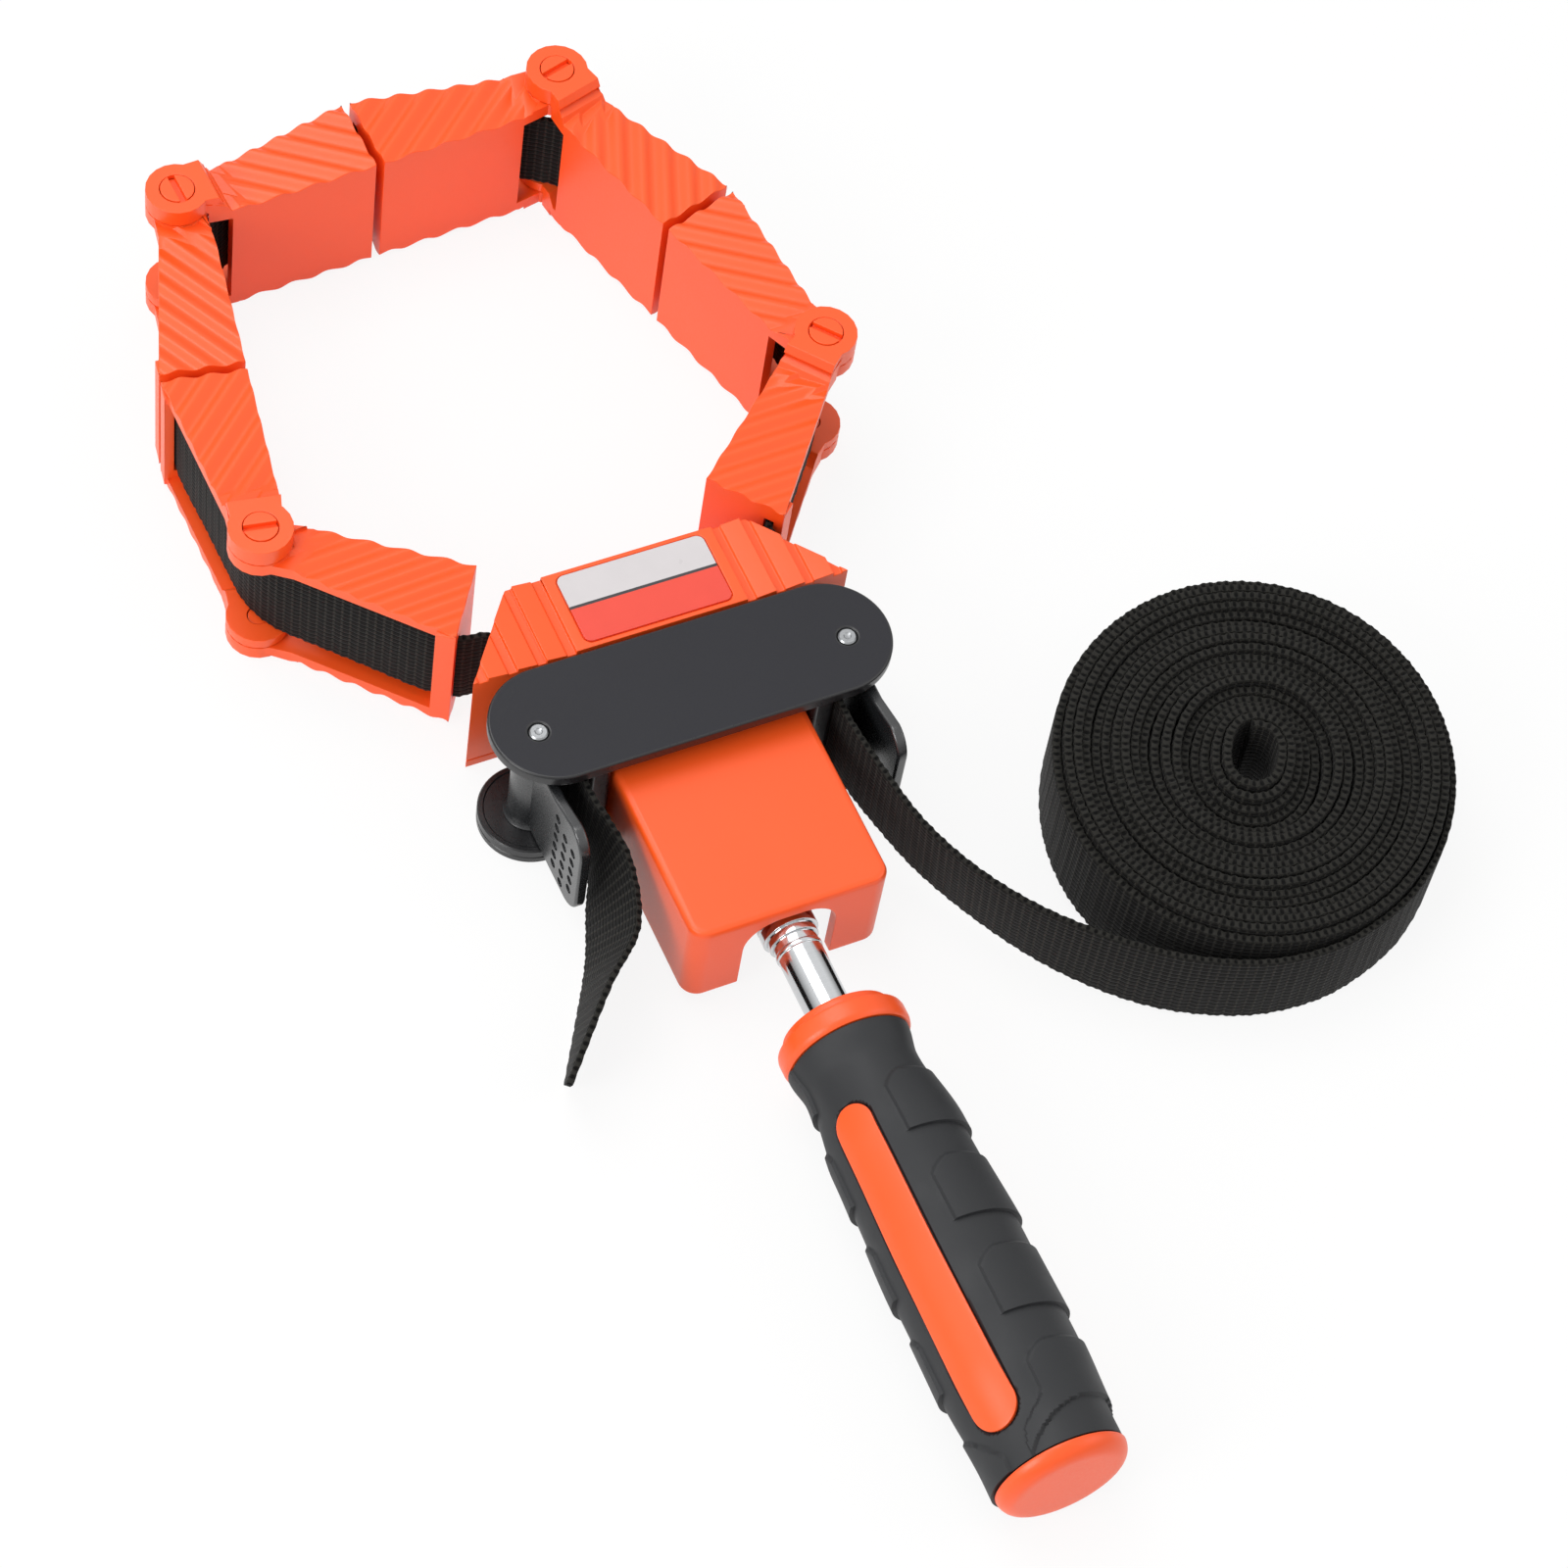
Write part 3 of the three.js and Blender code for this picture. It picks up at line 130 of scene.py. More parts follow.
# Roll of spare strap: its place, pitch and steps in degrees, then how unevenly its turns lie. They are
# loose in groups, pressed out of round at the core, rise and fall, sink in one place, and sway
COIL_CENTRE = (123.5, -90.0)
COIL_RADIUS = 52.2
COIL_PITCH = 2.42
COIL_START = math.radians(-62)
COIL_STRETCH = 0.04
COIL_LEAN = math.radians(54)
COIL_BASE = 0.3
COIL_STEP = 4.0
COIL_JOIN_STEPS = 20
COIL_END_STEP = 12.0
COIL_END_STEPS = 12
LOOSE = 0.1
LOOSE_TURNS = 3.1
CORE_TURN = 10
CORE_TURNS = 8
CORE_PRESS = 0.14
RISE = 2.4
RISE_SWING = 1.1
RISE_TURNS = 5.2
RISE_PHASE = 1.2
CORE_RISE = 1.4
CORE_RISE_TURN = 15.6
CORE_RISE_TURNS = 2.0
SUNK_TURN = 14.0
SUNK_SPREAD = 1.3
ROLL_SWELL_IN = 60.0
ROLL_SWAY = 0.35
ROLL_SWAY_LENGTH = 97.0

# Free strap from the bridge to the roll: its straight ends, its lean beside the box, and its lower edge
FREE_STRAIGHT = 5
ROLL_APPROACH = 4
FREE_LEAN = 3.2
FREE_LEAN_SHARE = 0.6
FREE_ROUTE = [
    (35.2, -63, 6.2),
    (38.8, -80, 4.6),
    (46, -96, 3.1),
    (57.5, -112, 2),
    (75, -128, 1.2),
    (87.7, -136.1, 0.7),
    (103, -142, 0.4),
    (119.5, -143.4, 0.3),
    (132.9, -140.7, 0.3),
]

# Tail on the left: its straight end, the step and span that it is drawn with, and its lower and upper edge
TAIL_STRAIGHT = 4
TAIL_FINE = 0.2
TAIL_SPAN = 3
TAIL_ROUTE = [
    ((-34.2, -53.5, 5.2), (-31.6, -54.2, 30)),
    ((-38.1, -61.5, 3.2), (-30, -63.5, 26.6)),
    ((-44.1, -74.9, 2.6), (-34.3, -80.1, 25)),
    ((-51.6, -87.9, 2.2), (-47.3, -93.1, 26)),
    ((-60.6, -102.9, 2), (-66, -113.5, 24)),
]

# Bridge: its two pins, their bores in the plate and the levers, the plate's reach to the head, its floor
# under the bores, and how far up a face of the plate looks to count as its top
PIN_X = 40.2
BRIDGE_Y = -30.2
PIN_RADIUS = 2.3
PLATE_BORE = 2.45
LEVER_BORE = 2.55
PLATE_LIP = 2.6
PLATE_FLOOR = 1
LEVEL = 0.98

# Screw and handle, turned about a line along Y
AXIS_Z = 18.2
COLLAR_FRONT = -117.5
GRIP_FRONT = -126.0
GRIP_LENGTH = 108.5
GRIP_BACK = GRIP_FRONT - GRIP_LENGTH
SCREW_END = -174.3
CORE_RADIUS = 8.9
GRIP_BORE = CORE_RADIUS + 0.3
GRIP_LAP = 4.2
GRIP_WHOLE = GRIP_LENGTH + GRIP_LAP
GRIP_END = GRIP_BACK - GRIP_LAP
GRIP_ROW = 0.5
CAP_END = -243.4
CAP_RADIUS = 16.1
CAP_SHOULDER = 3.9
CAP_FLAT = 11.6
CAP_CROWN = 0.2
CAP_FLAT_CROWN = 0.15
CAP_SEAM = 0.15
CAP_STEPS = 10
GRIP_SIDES = 200
GRIP_KNOTS = [(0, 15), (0.07, 13.8), (0.25, 15.93), (0.55, 17), (0.8, 17), (1, 15.8)]
INLAY_TURN = -45.0
INLAY_STEPS = 24
INLAY_DEPTH = 1.2
INLAY_ROUND = 0.3
INLAY_BED = 1.3
INLAY_BED_EDGE = 0.4

# Cuts that let an inlay bend round the grip: axis, first, last and spacing in millimetres
INLAY_CUTS = ((0, -6, 6, 1), (1, -104, -18, 2))

# Pads of the grip, in degrees off their middle and millimetres along the grip: half their reach, the
# curve of their front, and the last pad of each row, which sweeps out under the end of the inlay.
# Each line of that sweep starts at a place, runs back by a length, and does so within an angle
PAD_COUNT = 5
PAD_HALF = 50.0
PAD_CURVE = 4.0
PAD_CURVE_FROM = 28
PAD_CURVE_REACH = 22
PAD_FLANK = 0.45
PAD_FRONT = 0.7
PAD_LEDGE = 0.12
PAD_LOW = 0.7
PAD_RISE = 0.3
LEDGE_ROW = 0.06
SWEEP_AFTER = 98
SWEEP_WIDER = 28
SWEEP_MIDDLE = 104
SWEEP_LENGTH = 9.0
SWEEP_LEDGE = (103.6, 8.6, 78)
SWEEP_FRONT = (97, 13, 81)
SWEEP_POWER = 2.5

# Ribs of the jaws: spacing and first rib square to them, their turn, and how deep crest and valley lie
JAW_HEIGHT = 39.0
RIB_PITCH = 5.9
RIB_FIRST = 0.8
RIB_TURN = math.radians(51.5)
RIB_CREST = 0.35
RIB_VALLEY = 1.55
RIB_RISE_SHARE = 0.6
RIB_STEPS = 10
RIB_FADE = math.radians(24)
RIB_CUT_REACH = 1.4 * JAW_REACH
RIB_CUT_RISE = 3
PLAIN_EAR = 9.6
RAISED_EAR = 13.2
RAISED_HALVES = {"near_left": "near_left_side", "far_left": "far_left_end",
                 "far_right": "far_right_side", "near_right": "near_right_head"}

# Edges of a raised ear that are rounded more: their height, distance off the hinge, angle and rounding,
# and the rounding of the hinge posts
EAR_HEIGHT = 39.2
EAR_NEAR = 5.5
EAR_FAR = 15
EAR_SHARP = math.radians(28)
EAR_ROUND = 0.8
POST_ROUND = 0.2

# Ribs of the head: count on each side, first one, spacing, and the groove at the foot of each
HEAD_RIBS = 4
HEAD_TOP = 37.0
HEAD_SIDE = 50.0
HEAD_RIB_START = 22.5
HEAD_RIB_PITCH = 7.6
HEAD_GROOVE = 2.3
HEAD_GROOVE_DEPTH = 1.2
HEAD_GROOVE_SLOPE = 0.4

# Label film: its corners, the shares of its depth where its fields meet, and thin rounded edges
FILM_CORNER = 2
FILM_CUTS = (0.50, 0.54)
THIN_EDGE = 0.12

# Cams, in degrees round the pin: where they fall off on both sides, and where their teeth are
CAM_STEPS = 40
CAM_FALL = 0.3
CAM_FALL_END = 180
CAM_FALL_REACH = 45
CAM_BACK_START = 230
CAM_BACK_REACH = 40
CAM_TOOTH = 0.45
CAM_TEETH = (170, 235)

# Finger tabs: root beside the pin, slant, the end under the bridge and where they come out of it, then
# the columns of dimples, with the height of the first and the count of each
TAB_ROOT = 2.6
TAB_SLANT = 0.01
TAB_START = 1.0
TAB_FREE = 16.5
TAB_ROUND = 0.7
TAB_STEPS = 8
DIMPLE_COLUMNS = ((10.0, 6), (8.1, 6), (12.0, 5))
DIMPLE_START = 19.3
DIMPLE_SPREAD = 4.5
DIMPLE_STRETCH = 1.7

# Strap edge, in millimetres: the flat band, the lip of a loop and the hole in it, where lip and hole lie
# past the weave, and the lip's share of the thickness, least and more at a hole
EDGE_BAND = 0.9
EDGE_LIP = 0.15
EDGE_HOLE = 0.5
LIP_PAST = 0.2
HOLE_PAST = 0.8
LIP_SHARE = 0.66
LIP_SWELL = 0.28

# Weave of the strap, in millimetres: where its lines of painted highlight, its rows of painted shade, the
# painted shade round each loop's notch and its holes of painted shade fade in, off the middle of each, then
# where the looped rim and the row of holes fade in, past the edge of the weave
WEAVE_LINE = (0.42, 0.1)
WEAVE_ROW = (0.08, 0.34)
WEAVE_NOTCH_SHADE = (0.1, 0.5)
WEAVE_HOLE = (0.62, 0.3)
WEAVE_RIM = (-0.7, 0.0)
WEAVE_CORE = (0.25, 0.6)


def linear(code):
    """sRGB hex colour as linear red, green and blue."""
    parts = [int(code[i:i + 2], 16) / 255 for i in (1, 3, 5)]
    return tuple(c / 12.92 if c <= 0.04045 else ((c + 0.055) / 1.055) ** 2.4 for c in parts)


def tint(name, code, what):
    return FloatVectorProperty(name=name, description=what, subtype="COLOR", size=3, min=0, max=1,
                               default=linear(code))


def length(name, size, what):
    return FloatProperty(name=name, description=what, unit="LENGTH", min=0, default=size * MM,
                         precision=5)


class ClampColours(bpy.types.PropertyGroup):
    """Colours of the clamp's finishes"""
    orange: tint("Orange", "#ff5a1c", "Moulded head, jaws and handle core")
    plate: tint("Plate grey", "#26262b", "Top plate of the bridge")
    black: tint("Black", "#1b1b1d", "Bridge frame")
    lever: tint("Lever black", "#202123", "Cam levers")
    grip: tint("Grip", "#2c2d2f", "Soft grip of the handle")
    webbing: tint("Webbing", "#100f0e", "Yarn on the faces of the strap")
    webbing_edge: tint("Webbing edge", "#292825", "Yarn loops on the edges of the strap")
    # Painted highlight: the raised yarns across the faces are drawn in this lighter colour
    webbing_line_highlight: tint("Webbing line", "#2e2c28", "Raised yarns across the faces of the strap")
    steel: tint("Steel", "#d4d6d8", "Plated sleeve and cam pins")
    zinc: tint("Zinc", "#a7a9ab", "Screw, nut and washers")
    film_pale: tint("Film, pale", "#cfcacb", "Upper field of the label film")
    film_red: tint("Film, red", "#e8432f", "Lower field of the label film")
    film_dark: tint("Film, dark", "#2b2a2d", "Dividing line of the label film")
    floor: tint("Floor", "#f6f6f5", "Paper under the clamp")


class ClampStrap(bpy.types.PropertyGroup):
    """Sizes of the woven strap"""
    width: length("Width", STRAP_WIDTH, "Width of the webbing")
    thick: length("Thickness", STRAP_THICK, "Thickness of the webbing")
    roll_thick: length("Thickness in the roll", 2.25, "Thickness where the turns swell against each other")
    loop: length("Edge loop", 2.0, "Spacing of the yarn loops along the edges")
    rib: length("Rib", 4.4, "Spacing of the cross ribs")
    swell: length("Rib swell", 0.07, "How much a cross rib stands out of each face")
    scallop: length("Scallop", 0.16, "How far the edges swing in and out with the ribs")
    row: length("Row", 1.55, "Spacing of the rows of floats on the faces")
    turns: IntProperty(name="Turns", description="Turns in the roll of spare strap", default=18, min=1)


class ClampEdges(bpy.types.PropertyGroup):
    """Rounding of moulded and machined edges"""
    moulded: length("Moulded", 0.3, "Rounding of edges on the orange mouldings")
    jaw: length("Jaw", 0.2, "Rounding of the ribs and edges of the jaws")
    plate: length("Plate", 0.6, "Rounding of the bridge plate")
    metal: length("Metal", 0.25, "Rounding of turned metal edges")


class ClampLevers(bpy.types.PropertyGroup):
    """Sizes of the cam levers' finger tabs"""
    tab_length: length("Tab length", 32.5, "From the pin to the free end of the tab")
    tab_thick: length("Tab thickness", 2.8, "Thickness of the tab")
    tab_low: length("Tab base", 5.1, "Height of the tab's lower edge")
    tab_top: length("Tab top", 36.2, "Height of the tab's upper edge outside the bridge")
    tab_step: length("Tab step", 2.6, "Lower by this under the bridge's plate")
    tab_corner: length("Tab corner", 6.5, "Rounding of the free end's corners")
    dimple: length("Dimple", 1.3, "Radius of the ball that sinks a dimple")
    dimple_rise: length("Dimple rise", 0.1, "Height of that ball over the tab")
    dimple_pitch: length("Dimple pitch", 3.9, "Spacing of the dimples")


class ClampGrip(bpy.types.PropertyGroup):
    """Sizes of the soft grip and its inlays"""
    pad_height: length("Pad height", 1.05, "Height of a pad at its lower ledge")
    pad_pitch: length("Pad pitch", 25, "Spacing of the pads along the grip")
    pad_length: length("Pad length", 16.5, "Length of a pad along the grip")
    ledge_right: length("Right ledge", 30.5, "First ledge of the right row, from the front end")
    ledge_left: length("Left ledge", 12.5, "First ledge of the left row, from the front end")
    inlay_front: length("Inlay front", 22.75, "Centre of the inlay's front end")
    inlay_back: length("Inlay back", 97.25, "Centre of the inlay's back end")
    inlay_narrow: length("Inlay front radius", 5.25, "Radius of the inlay's front end")
    inlay_wide: length("Inlay back radius", 6.25, "Radius of the inlay's back end")
    inlay_proud: length("Inlay rise", 0.3, "How far an inlay stands out of the grip")
    groove: length("Inlay groove", 0.4, "Width of the groove around an inlay")


# Modelling helpers
def deselect():
    if bpy.context.object and bpy.context.object.mode != "OBJECT":
        bpy.ops.object.mode_set(mode="OBJECT")
    bpy.ops.object.select_all(action="DESELECT")


def activate(piece):
    deselect()
    piece.select_set(True)
    bpy.context.view_layer.objects.active = piece


def enter(piece):
    activate(piece)
    bpy.ops.object.mode_set(mode="EDIT")
    bpy.ops.mesh.select_all(action="SELECT")


def leave():
    bpy.ops.object.mode_set(mode="OBJECT")


def mesh_piece(name, points, edges=(), faces=()):
    mesh = bpy.data.meshes.new(name)
    mesh.from_pydata([tuple(p) for p in points], list(edges), list(faces))
    piece = bpy.data.objects.new(name, mesh)
    bpy.context.scene.collection.objects.link(piece)
    return piece


def modify(piece, kind, **settings):
    """Adds a modifier and applies it."""
    activate(piece)
    modifier = piece.modifiers.new(kind, kind)
    for key, value in settings.items():
        setattr(modifier, key, value)
    bpy.ops.object.modifier_apply(modifier=modifier.name)


def round_edges(piece, width, segments=2):
    modify(piece, "BEVEL", width=width, segments=segments, limit_method="ANGLE",
           angle_limit=ROUNDED_ANGLE, use_clamp_overlap=False)


def smooth(piece, degrees=40):
    activate(piece)
    bpy.ops.object.shade_smooth_by_angle(angle=math.radians(degrees))
    modify(piece, "WEIGHTED_NORMAL", keep_sharp=True)


def close_up(piece, gap=1e-6):
    """Merges doubles, fills open ends and turns the faces outwards."""
    enter(piece)
    bpy.ops.mesh.remove_doubles(threshold=gap)
    bpy.ops.mesh.select_all(action="SELECT")
    bpy.ops.mesh.fill_holes(sides=0)
    bpy.ops.mesh.select_all(action="SELECT")
    bpy.ops.mesh.normals_make_consistent(inside=False)
    leave()


def place(piece, name, finish, body=None, nodes=()):
    """Names a finished piece, gives it its finish and sets it on its body."""
    activate(piece)
    bpy.ops.object.transform_apply(location=True, rotation=True, scale=True)
    piece.name = name
    piece.data.name = name
    if finish:
        piece.data.materials.clear()
        piece.data.materials.append(finish)
    if body:
        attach(piece, body)
    if nodes:
        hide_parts(*nodes)
    return piece


def cad_copy(node):
    """Own copy of a CAD node's mesh, with its triangles merged back to flat faces."""
    piece = bpy.data.objects.new(node + "_copy", frame["nodes"][node].data.copy())
    bpy.context.scene.collection.objects.link(piece)
    piece.data.materials.clear()
    activate(piece)
    if piece.data.has_custom_normals:
        bpy.ops.mesh.customdata_custom_splitnormals_clear()
    enter(piece)
    bpy.ops.mesh.remove_doubles(threshold=SEAM)
    bpy.ops.mesh.select_all(action="SELECT")
    bpy.ops.mesh.dissolve_limited(angle_limit=FLAT_ANGLE)
    leave()
    return piece


def finish_copy(piece, node, name, finish, body, width):
    """Rounds and smooths a copy of a CAD node, and sets it in the node's place."""
    round_edges(piece, width)
    smooth(piece)
    place(piece, name, finish_named(finish), body, [node])


def spun(name, points, centre, axis, steps):
    """Line of points in metres, spun once round an axis."""
    piece = mesh_piece(name, points, [(i, i + 1) for i in range(len(points) - 1)])
    enter(piece)
    bpy.ops.mesh.spin(steps=steps, angle=2 * math.pi, center=centre, axis=axis)
    leave()
    close_up(piece, SEAM)
    return piece


def turned(name, profile, steps=72):
    """Profile of (radius, y) in millimetres, spun about the screw's axis."""
    points = [(r * MM, y * MM, AXIS_Z * MM) for r, y in profile]
    return spun(name, points, (0, 0, AXIS_Z * MM), (0, 1, 0), steps)


def upright_turned(name, profile, x, y, steps=64):
    """Profile of (radius, z) in millimetres, spun about an upright line."""
    points = [((x + r) * MM, y * MM, z * MM) for r, z in profile]
    return spun(name, points, (x * MM, y * MM, 0), (0, 0, 1), steps)


def slab(name, low, high, corner, steps=12):
    """Block between two corners in metres, with round upright corners."""
    size = Vector(high) - Vector(low)
    middle = (Vector(high) + Vector(low)) / 2
    deselect()
    bpy.ops.mesh.primitive_plane_add(size=1, location=(middle.x, middle.y, low[2]))
    piece = bpy.context.object
    piece.name = name
    enter(piece)
    bpy.ops.transform.resize(value=(size.x, size.y, 1))
    bpy.ops.mesh.bevel(offset=corner, offset_type="OFFSET", segments=steps, affect="VERTICES")
    bpy.ops.mesh.select_all(action="SELECT")
    bpy.ops.mesh.extrude_region_move(TRANSFORM_OT_translate={"value": (0, 0, size.z)})
    leave()
    close_up(piece)
    return piece


def combine(piece, other, operation):
    """Cuts another piece away, or joins it on, and removes it."""
    modify(piece, "BOOLEAN", object=other, operation=operation, solver="EXACT")
    bpy.data.objects.remove(other)


def join(pieces):
    """Joins pieces into the first of them."""
    deselect()
    for piece in pieces:
        piece.select_set(True)
    bpy.context.view_layer.objects.active = pieces[0]
    bpy.ops.object.join()


def bore(piece, x, y, radius, low, high):
    """Cuts a round upright hole; all sizes in millimetres."""
    deselect()
    bpy.ops.mesh.primitive_cylinder_add(vertices=48, radius=radius * MM, depth=(high - low) * MM,
                                        location=(x * MM, y * MM, (low + high) / 2 * MM))
    combine(piece, bpy.context.object, "DIFFERENCE")


def prism(name, outline, travel):
    """Flat outline of points in metres, extruded along a vector."""
    piece = mesh_piece(name, outline, (), [tuple(range(len(outline)))])
    enter(piece)
    bpy.ops.mesh.extrude_region_move(TRANSFORM_OT_translate={"value": travel})
    leave()
    close_up(piece)
    return piece


def ease(value, width):
    """0 to 1 across an edge of a given width."""
    share = min(max(value / width + 0.5, 0.0), 1.0)
    return share * share * (3 - 2 * share)


# Finishes
def add_node(tree, kind, feeds=None, **settings):
    """Adds a node, with its settings, and links or sets each of its inputs."""
    made = tree.nodes.new(kind)
    for key, value in settings.items():
        setattr(made, key, value)
    for key, value in (feeds or {}).items():
        if isinstance(value, bpy.types.NodeSocket):
            tree.links.new(value, made.inputs[key])
        else:
            made.inputs[key].default_value = value
    return made


def new_finish(name, **constants):
    """Material with a Principled shader whose constant inputs are given by name."""
    finish = bpy.data.materials.new(name)
    finish.use_nodes = True
    tree = finish.node_tree
    shader = tree.nodes["Principled BSDF"]
    for key, value in constants.items():
        shader.inputs[key.replace("_", " ")].default_value = value
    return finish, tree, shader


def rgba(colour, share=1.0):
    """Colour with full alpha, darkened or lightened by a share."""
    return (*(c * share for c in colour), 1.0)


def noise(tree, where, size, detail):
    """Noise with a grain of a size in millimetres."""
    return add_node(tree, "ShaderNodeTexNoise", {
        "Vector": where, "Scale": 1 / (size * MM), "Detail": detail}).outputs["Fac"]


def mixed(tree, share, a, b):
    """Colour between two colours."""
    return add_node(tree, "ShaderNodeMix", {"Factor": share, "A": a, "B": b},
                    data_type="RGBA").outputs["Result"]


def ranged(tree, value, source=(0.0, 1.0), target=(0.0, 1.0)):
    """Value taken from one range to another."""
    return add_node(tree, "ShaderNodeMapRange", {
        "Value": value, "From Min": source[0], "From Max": source[1],
        "To Min": target[0], "To Max": target[1]}).outputs["Result"]


def worked(tree, operation, *values):
    """Result of a sum on one or two values."""
    return add_node(tree, "ShaderNodeMath", dict(enumerate(values)), operation=operation).outputs[0]


def dress(tree, shader, colour, roughness=None, relief=None, strength=0.5, depth=0.02):
    """Links colour, roughness and a relief with a depth in millimetres to the shader."""
    tree.links.new(colour, shader.inputs["Base Color"])
    if roughness is not None:
        tree.links.new(roughness, shader.inputs["Roughness"])
    if relief is not None:
        bump = add_node(tree, "ShaderNodeBump", {
            "Height": relief, "Strength": strength, "Distance": depth * MM})
        tree.links.new(bump.outputs["Normal"], shader.inputs["Normal"])


def moulded_plastic(name, colour, roughness, shade=0.85, grain=0.5, gloss=0.5):
    """Injection-moulded ABS or nylon: an even colour that drifts a little across the part,
    and a fine eroded-mould grain that breaks the gloss."""
    finish, tree, shader = new_finish(name, IOR=1.53, Specular_IOR_Level=gloss)
    where = add_node(tree, "ShaderNodeTexCoord").outputs["Object"]
    # Colour drifts over about 30 mm
    drift = noise(tree, where, size=30, detail=2.0)
    tones = mixed(tree, drift, rgba(colour, shade), rgba(colour))
    # Grain of the mould, drawn a little coarser than real so that it shows
    fine = noise(tree, where, size=grain, detail=3.0)
    rough = ranged(tree, fine, source=(0.25, 0.75), target=(roughness - 0.05, roughness + 0.07))
    dress(tree, shader, tones, rough, fine)
    return finish


def plated_metal(name, colour, roughness, streak=0.25):
    """Plated steel: turning marks run round the part and smear the reflections a little."""
    finish, tree, shader = new_finish(name, Metallic=1.0)
    where = add_node(tree, "ShaderNodeTexCoord").outputs["Object"]
    # Turning marks lie one streak apart along the axis and are stretched far round it
    along = add_node(tree, "ShaderNodeMapping", {
        "Vector": where, "Scale": (20, 1 / (streak * MM), 20)}).outputs["Vector"]
    marks = noise(tree, along, size=1 / MM, detail=4.0)
    tones = mixed(tree, marks, rgba(colour, share=0.86), rgba(colour))
    dress(tree, shader, tones, ranged(tree, marks, target=(roughness * 0.6, roughness * 1.5)))
    return finish


def soft_grip(colour):
    """Thermoplastic rubber over the handle: dry and matte, with a fine sanded skin."""
    finish, tree, shader = new_finish("soft_grip_rubber", IOR=1.5, Specular_IOR_Level=0.35)
    where = add_node(tree, "ShaderNodeTexCoord").outputs["Object"]
    # Handling leaves patches of about 12 mm that shine a little more
    patch = noise(tree, where, size=12, detail=3.0)
    skin = noise(tree, where, size=0.35, detail=2.0)
    tones = mixed(tree, patch, rgba(colour, share=0.82), rgba(colour, share=1.12))
    rough = ranged(tree, patch, source=(0.3, 0.7), target=(0.5, 0.66))
    dress(tree, shader, tones, rough, skin, strength=0.6, depth=0.03)
    return finish


def woven_webbing(colours, strap):
    """Woven polyester webbing: thin pale lines across the strap, a painted highlight on the raised yarns,
    broken into floats by rows along it that are darkened as painted shade, and open loops on both edges with
    painted shade in their holes. UV is in metres along and across."""
    finish, tree, shader = new_finish("woven_webbing", Sheen_Weight=0.04, Sheen_Roughness=0.5,
                                      Specular_IOR_Level=0.12, Roughness=0.72)
    flat = add_node(tree, "ShaderNodeUVMap", uv_map="weave").outputs["UV"]
    axes = add_node(tree, "ShaderNodeSeparateXYZ", {"Vector": flat}).outputs

    def swing(axis, pitch):
        """Distance to the nearest line of a row of lines, in metres."""
        return worked(tree, "PINGPONG", axes[axis], pitch / 2)

    def ramp(value, zero, one):
        """0 to 1 between two distances in millimetres."""
        return ranged(tree, value, (zero * MM, one * MM))

    # Painted highlight: the raised lines across the strap are lightened
    line = ramp(swing("X", strap.rib / 2), *WEAVE_LINE)
    row = ramp(swing("Y", strap.row), *WEAVE_ROW)
    float_top = worked(tree, "MULTIPLY", line, row)
    # Painted shade: the grooves along the rows are darkened
    row_shaded_ground = mixed(tree, row, rgba(colours.webbing, share=0.4), rgba(colours.webbing))
    face = mixed(tree, float_top, row_shaded_ground, rgba(colours.webbing_line_highlight))
    # Past each edge the weave gives way to loops, and each loop's hole is darkened almost to black as
    # painted shade
    half = strap.width / 2
    out = worked(tree, "ABSOLUTE", worked(tree, "SUBTRACT", axes["Y"], half))
    rim, core = (ramp(out, *(half / MM + past for past in edge)) for edge in (WEAVE_RIM, WEAVE_CORE))
    hole = worked(tree, "MULTIPLY", core, ramp(swing("X", strap.loop), *WEAVE_HOLE))
    # Painted shade: the loops are darkened round the notch at each hole
    notch_shade = ramp(swing("X", strap.loop), *WEAVE_NOTCH_SHADE)
    loops = mixed(tree, notch_shade, rgba(colours.webbing_edge, share=0.4), rgba(colours.webbing_edge))
    edged = mixed(tree, rim, face, loops)
    # Painted shade: the hole of each loop is darkened almost to black
    hole_shaded = mixed(tree, hole, edged, rgba(colours.webbing, share=0.06))
    raised = worked(tree, "ADD", worked(tree, "SUBTRACT", float_top, hole), row)
    dress(tree, shader, hole_shaded, relief=raised, strength=0.9, depth=0.18)
    return finish


def printed_film(name, colour):
    """Printed polyester film: an even ink layer under a clear gloss that ripples slightly."""
    finish, tree, shader = new_finish(name, IOR=1.5, Coat_Weight=0.4, Coat_Roughness=0.08)
    where = add_node(tree, "ShaderNodeTexCoord").outputs["Object"]
    ripple = noise(tree, where, size=6, detail=2.0)
    tones = mixed(tree, ripple, rgba(colour, share=0.94), rgba(colour))
    dress(tree, shader, tones, ranged(tree, ripple, target=(0.24, 0.36)))
    return finish


def finish_named(name):
    """A finish of the clamp, made the first time that it is asked for."""
    if name in bpy.data.materials:
        return bpy.data.materials[name]
    scene = bpy.context.scene
    colours = scene.clamp_colours
    if name == "woven_webbing":
        return woven_webbing(colours, scene.clamp_strap)
    if name == "soft_grip_rubber":
        return soft_grip(colours.grip)
    if name == "moulded_orange_abs":
        return moulded_plastic(name, colours.orange, roughness=0.36, shade=0.93)
    if name == "satin_grey_nylon":
        return moulded_plastic(name, colours.plate, roughness=0.5, grain=0.4, gloss=0.25)
    if name == "moulded_black_nylon":
        return moulded_plastic(name, colours.black, roughness=0.3, grain=0.8)
    if name == "satin_black_nylon":
        return moulded_plastic(name, colours.lever, roughness=0.27, grain=0.4, gloss=0.9)
    if name == "bright_plated_steel":
        return plated_metal(name, colours.steel, roughness=0.12)
    if name == "zinc_plated_steel":
        return plated_metal(name, colours.zinc, roughness=0.32, streak=0.6)
    return printed_film(name, getattr(colours, name))


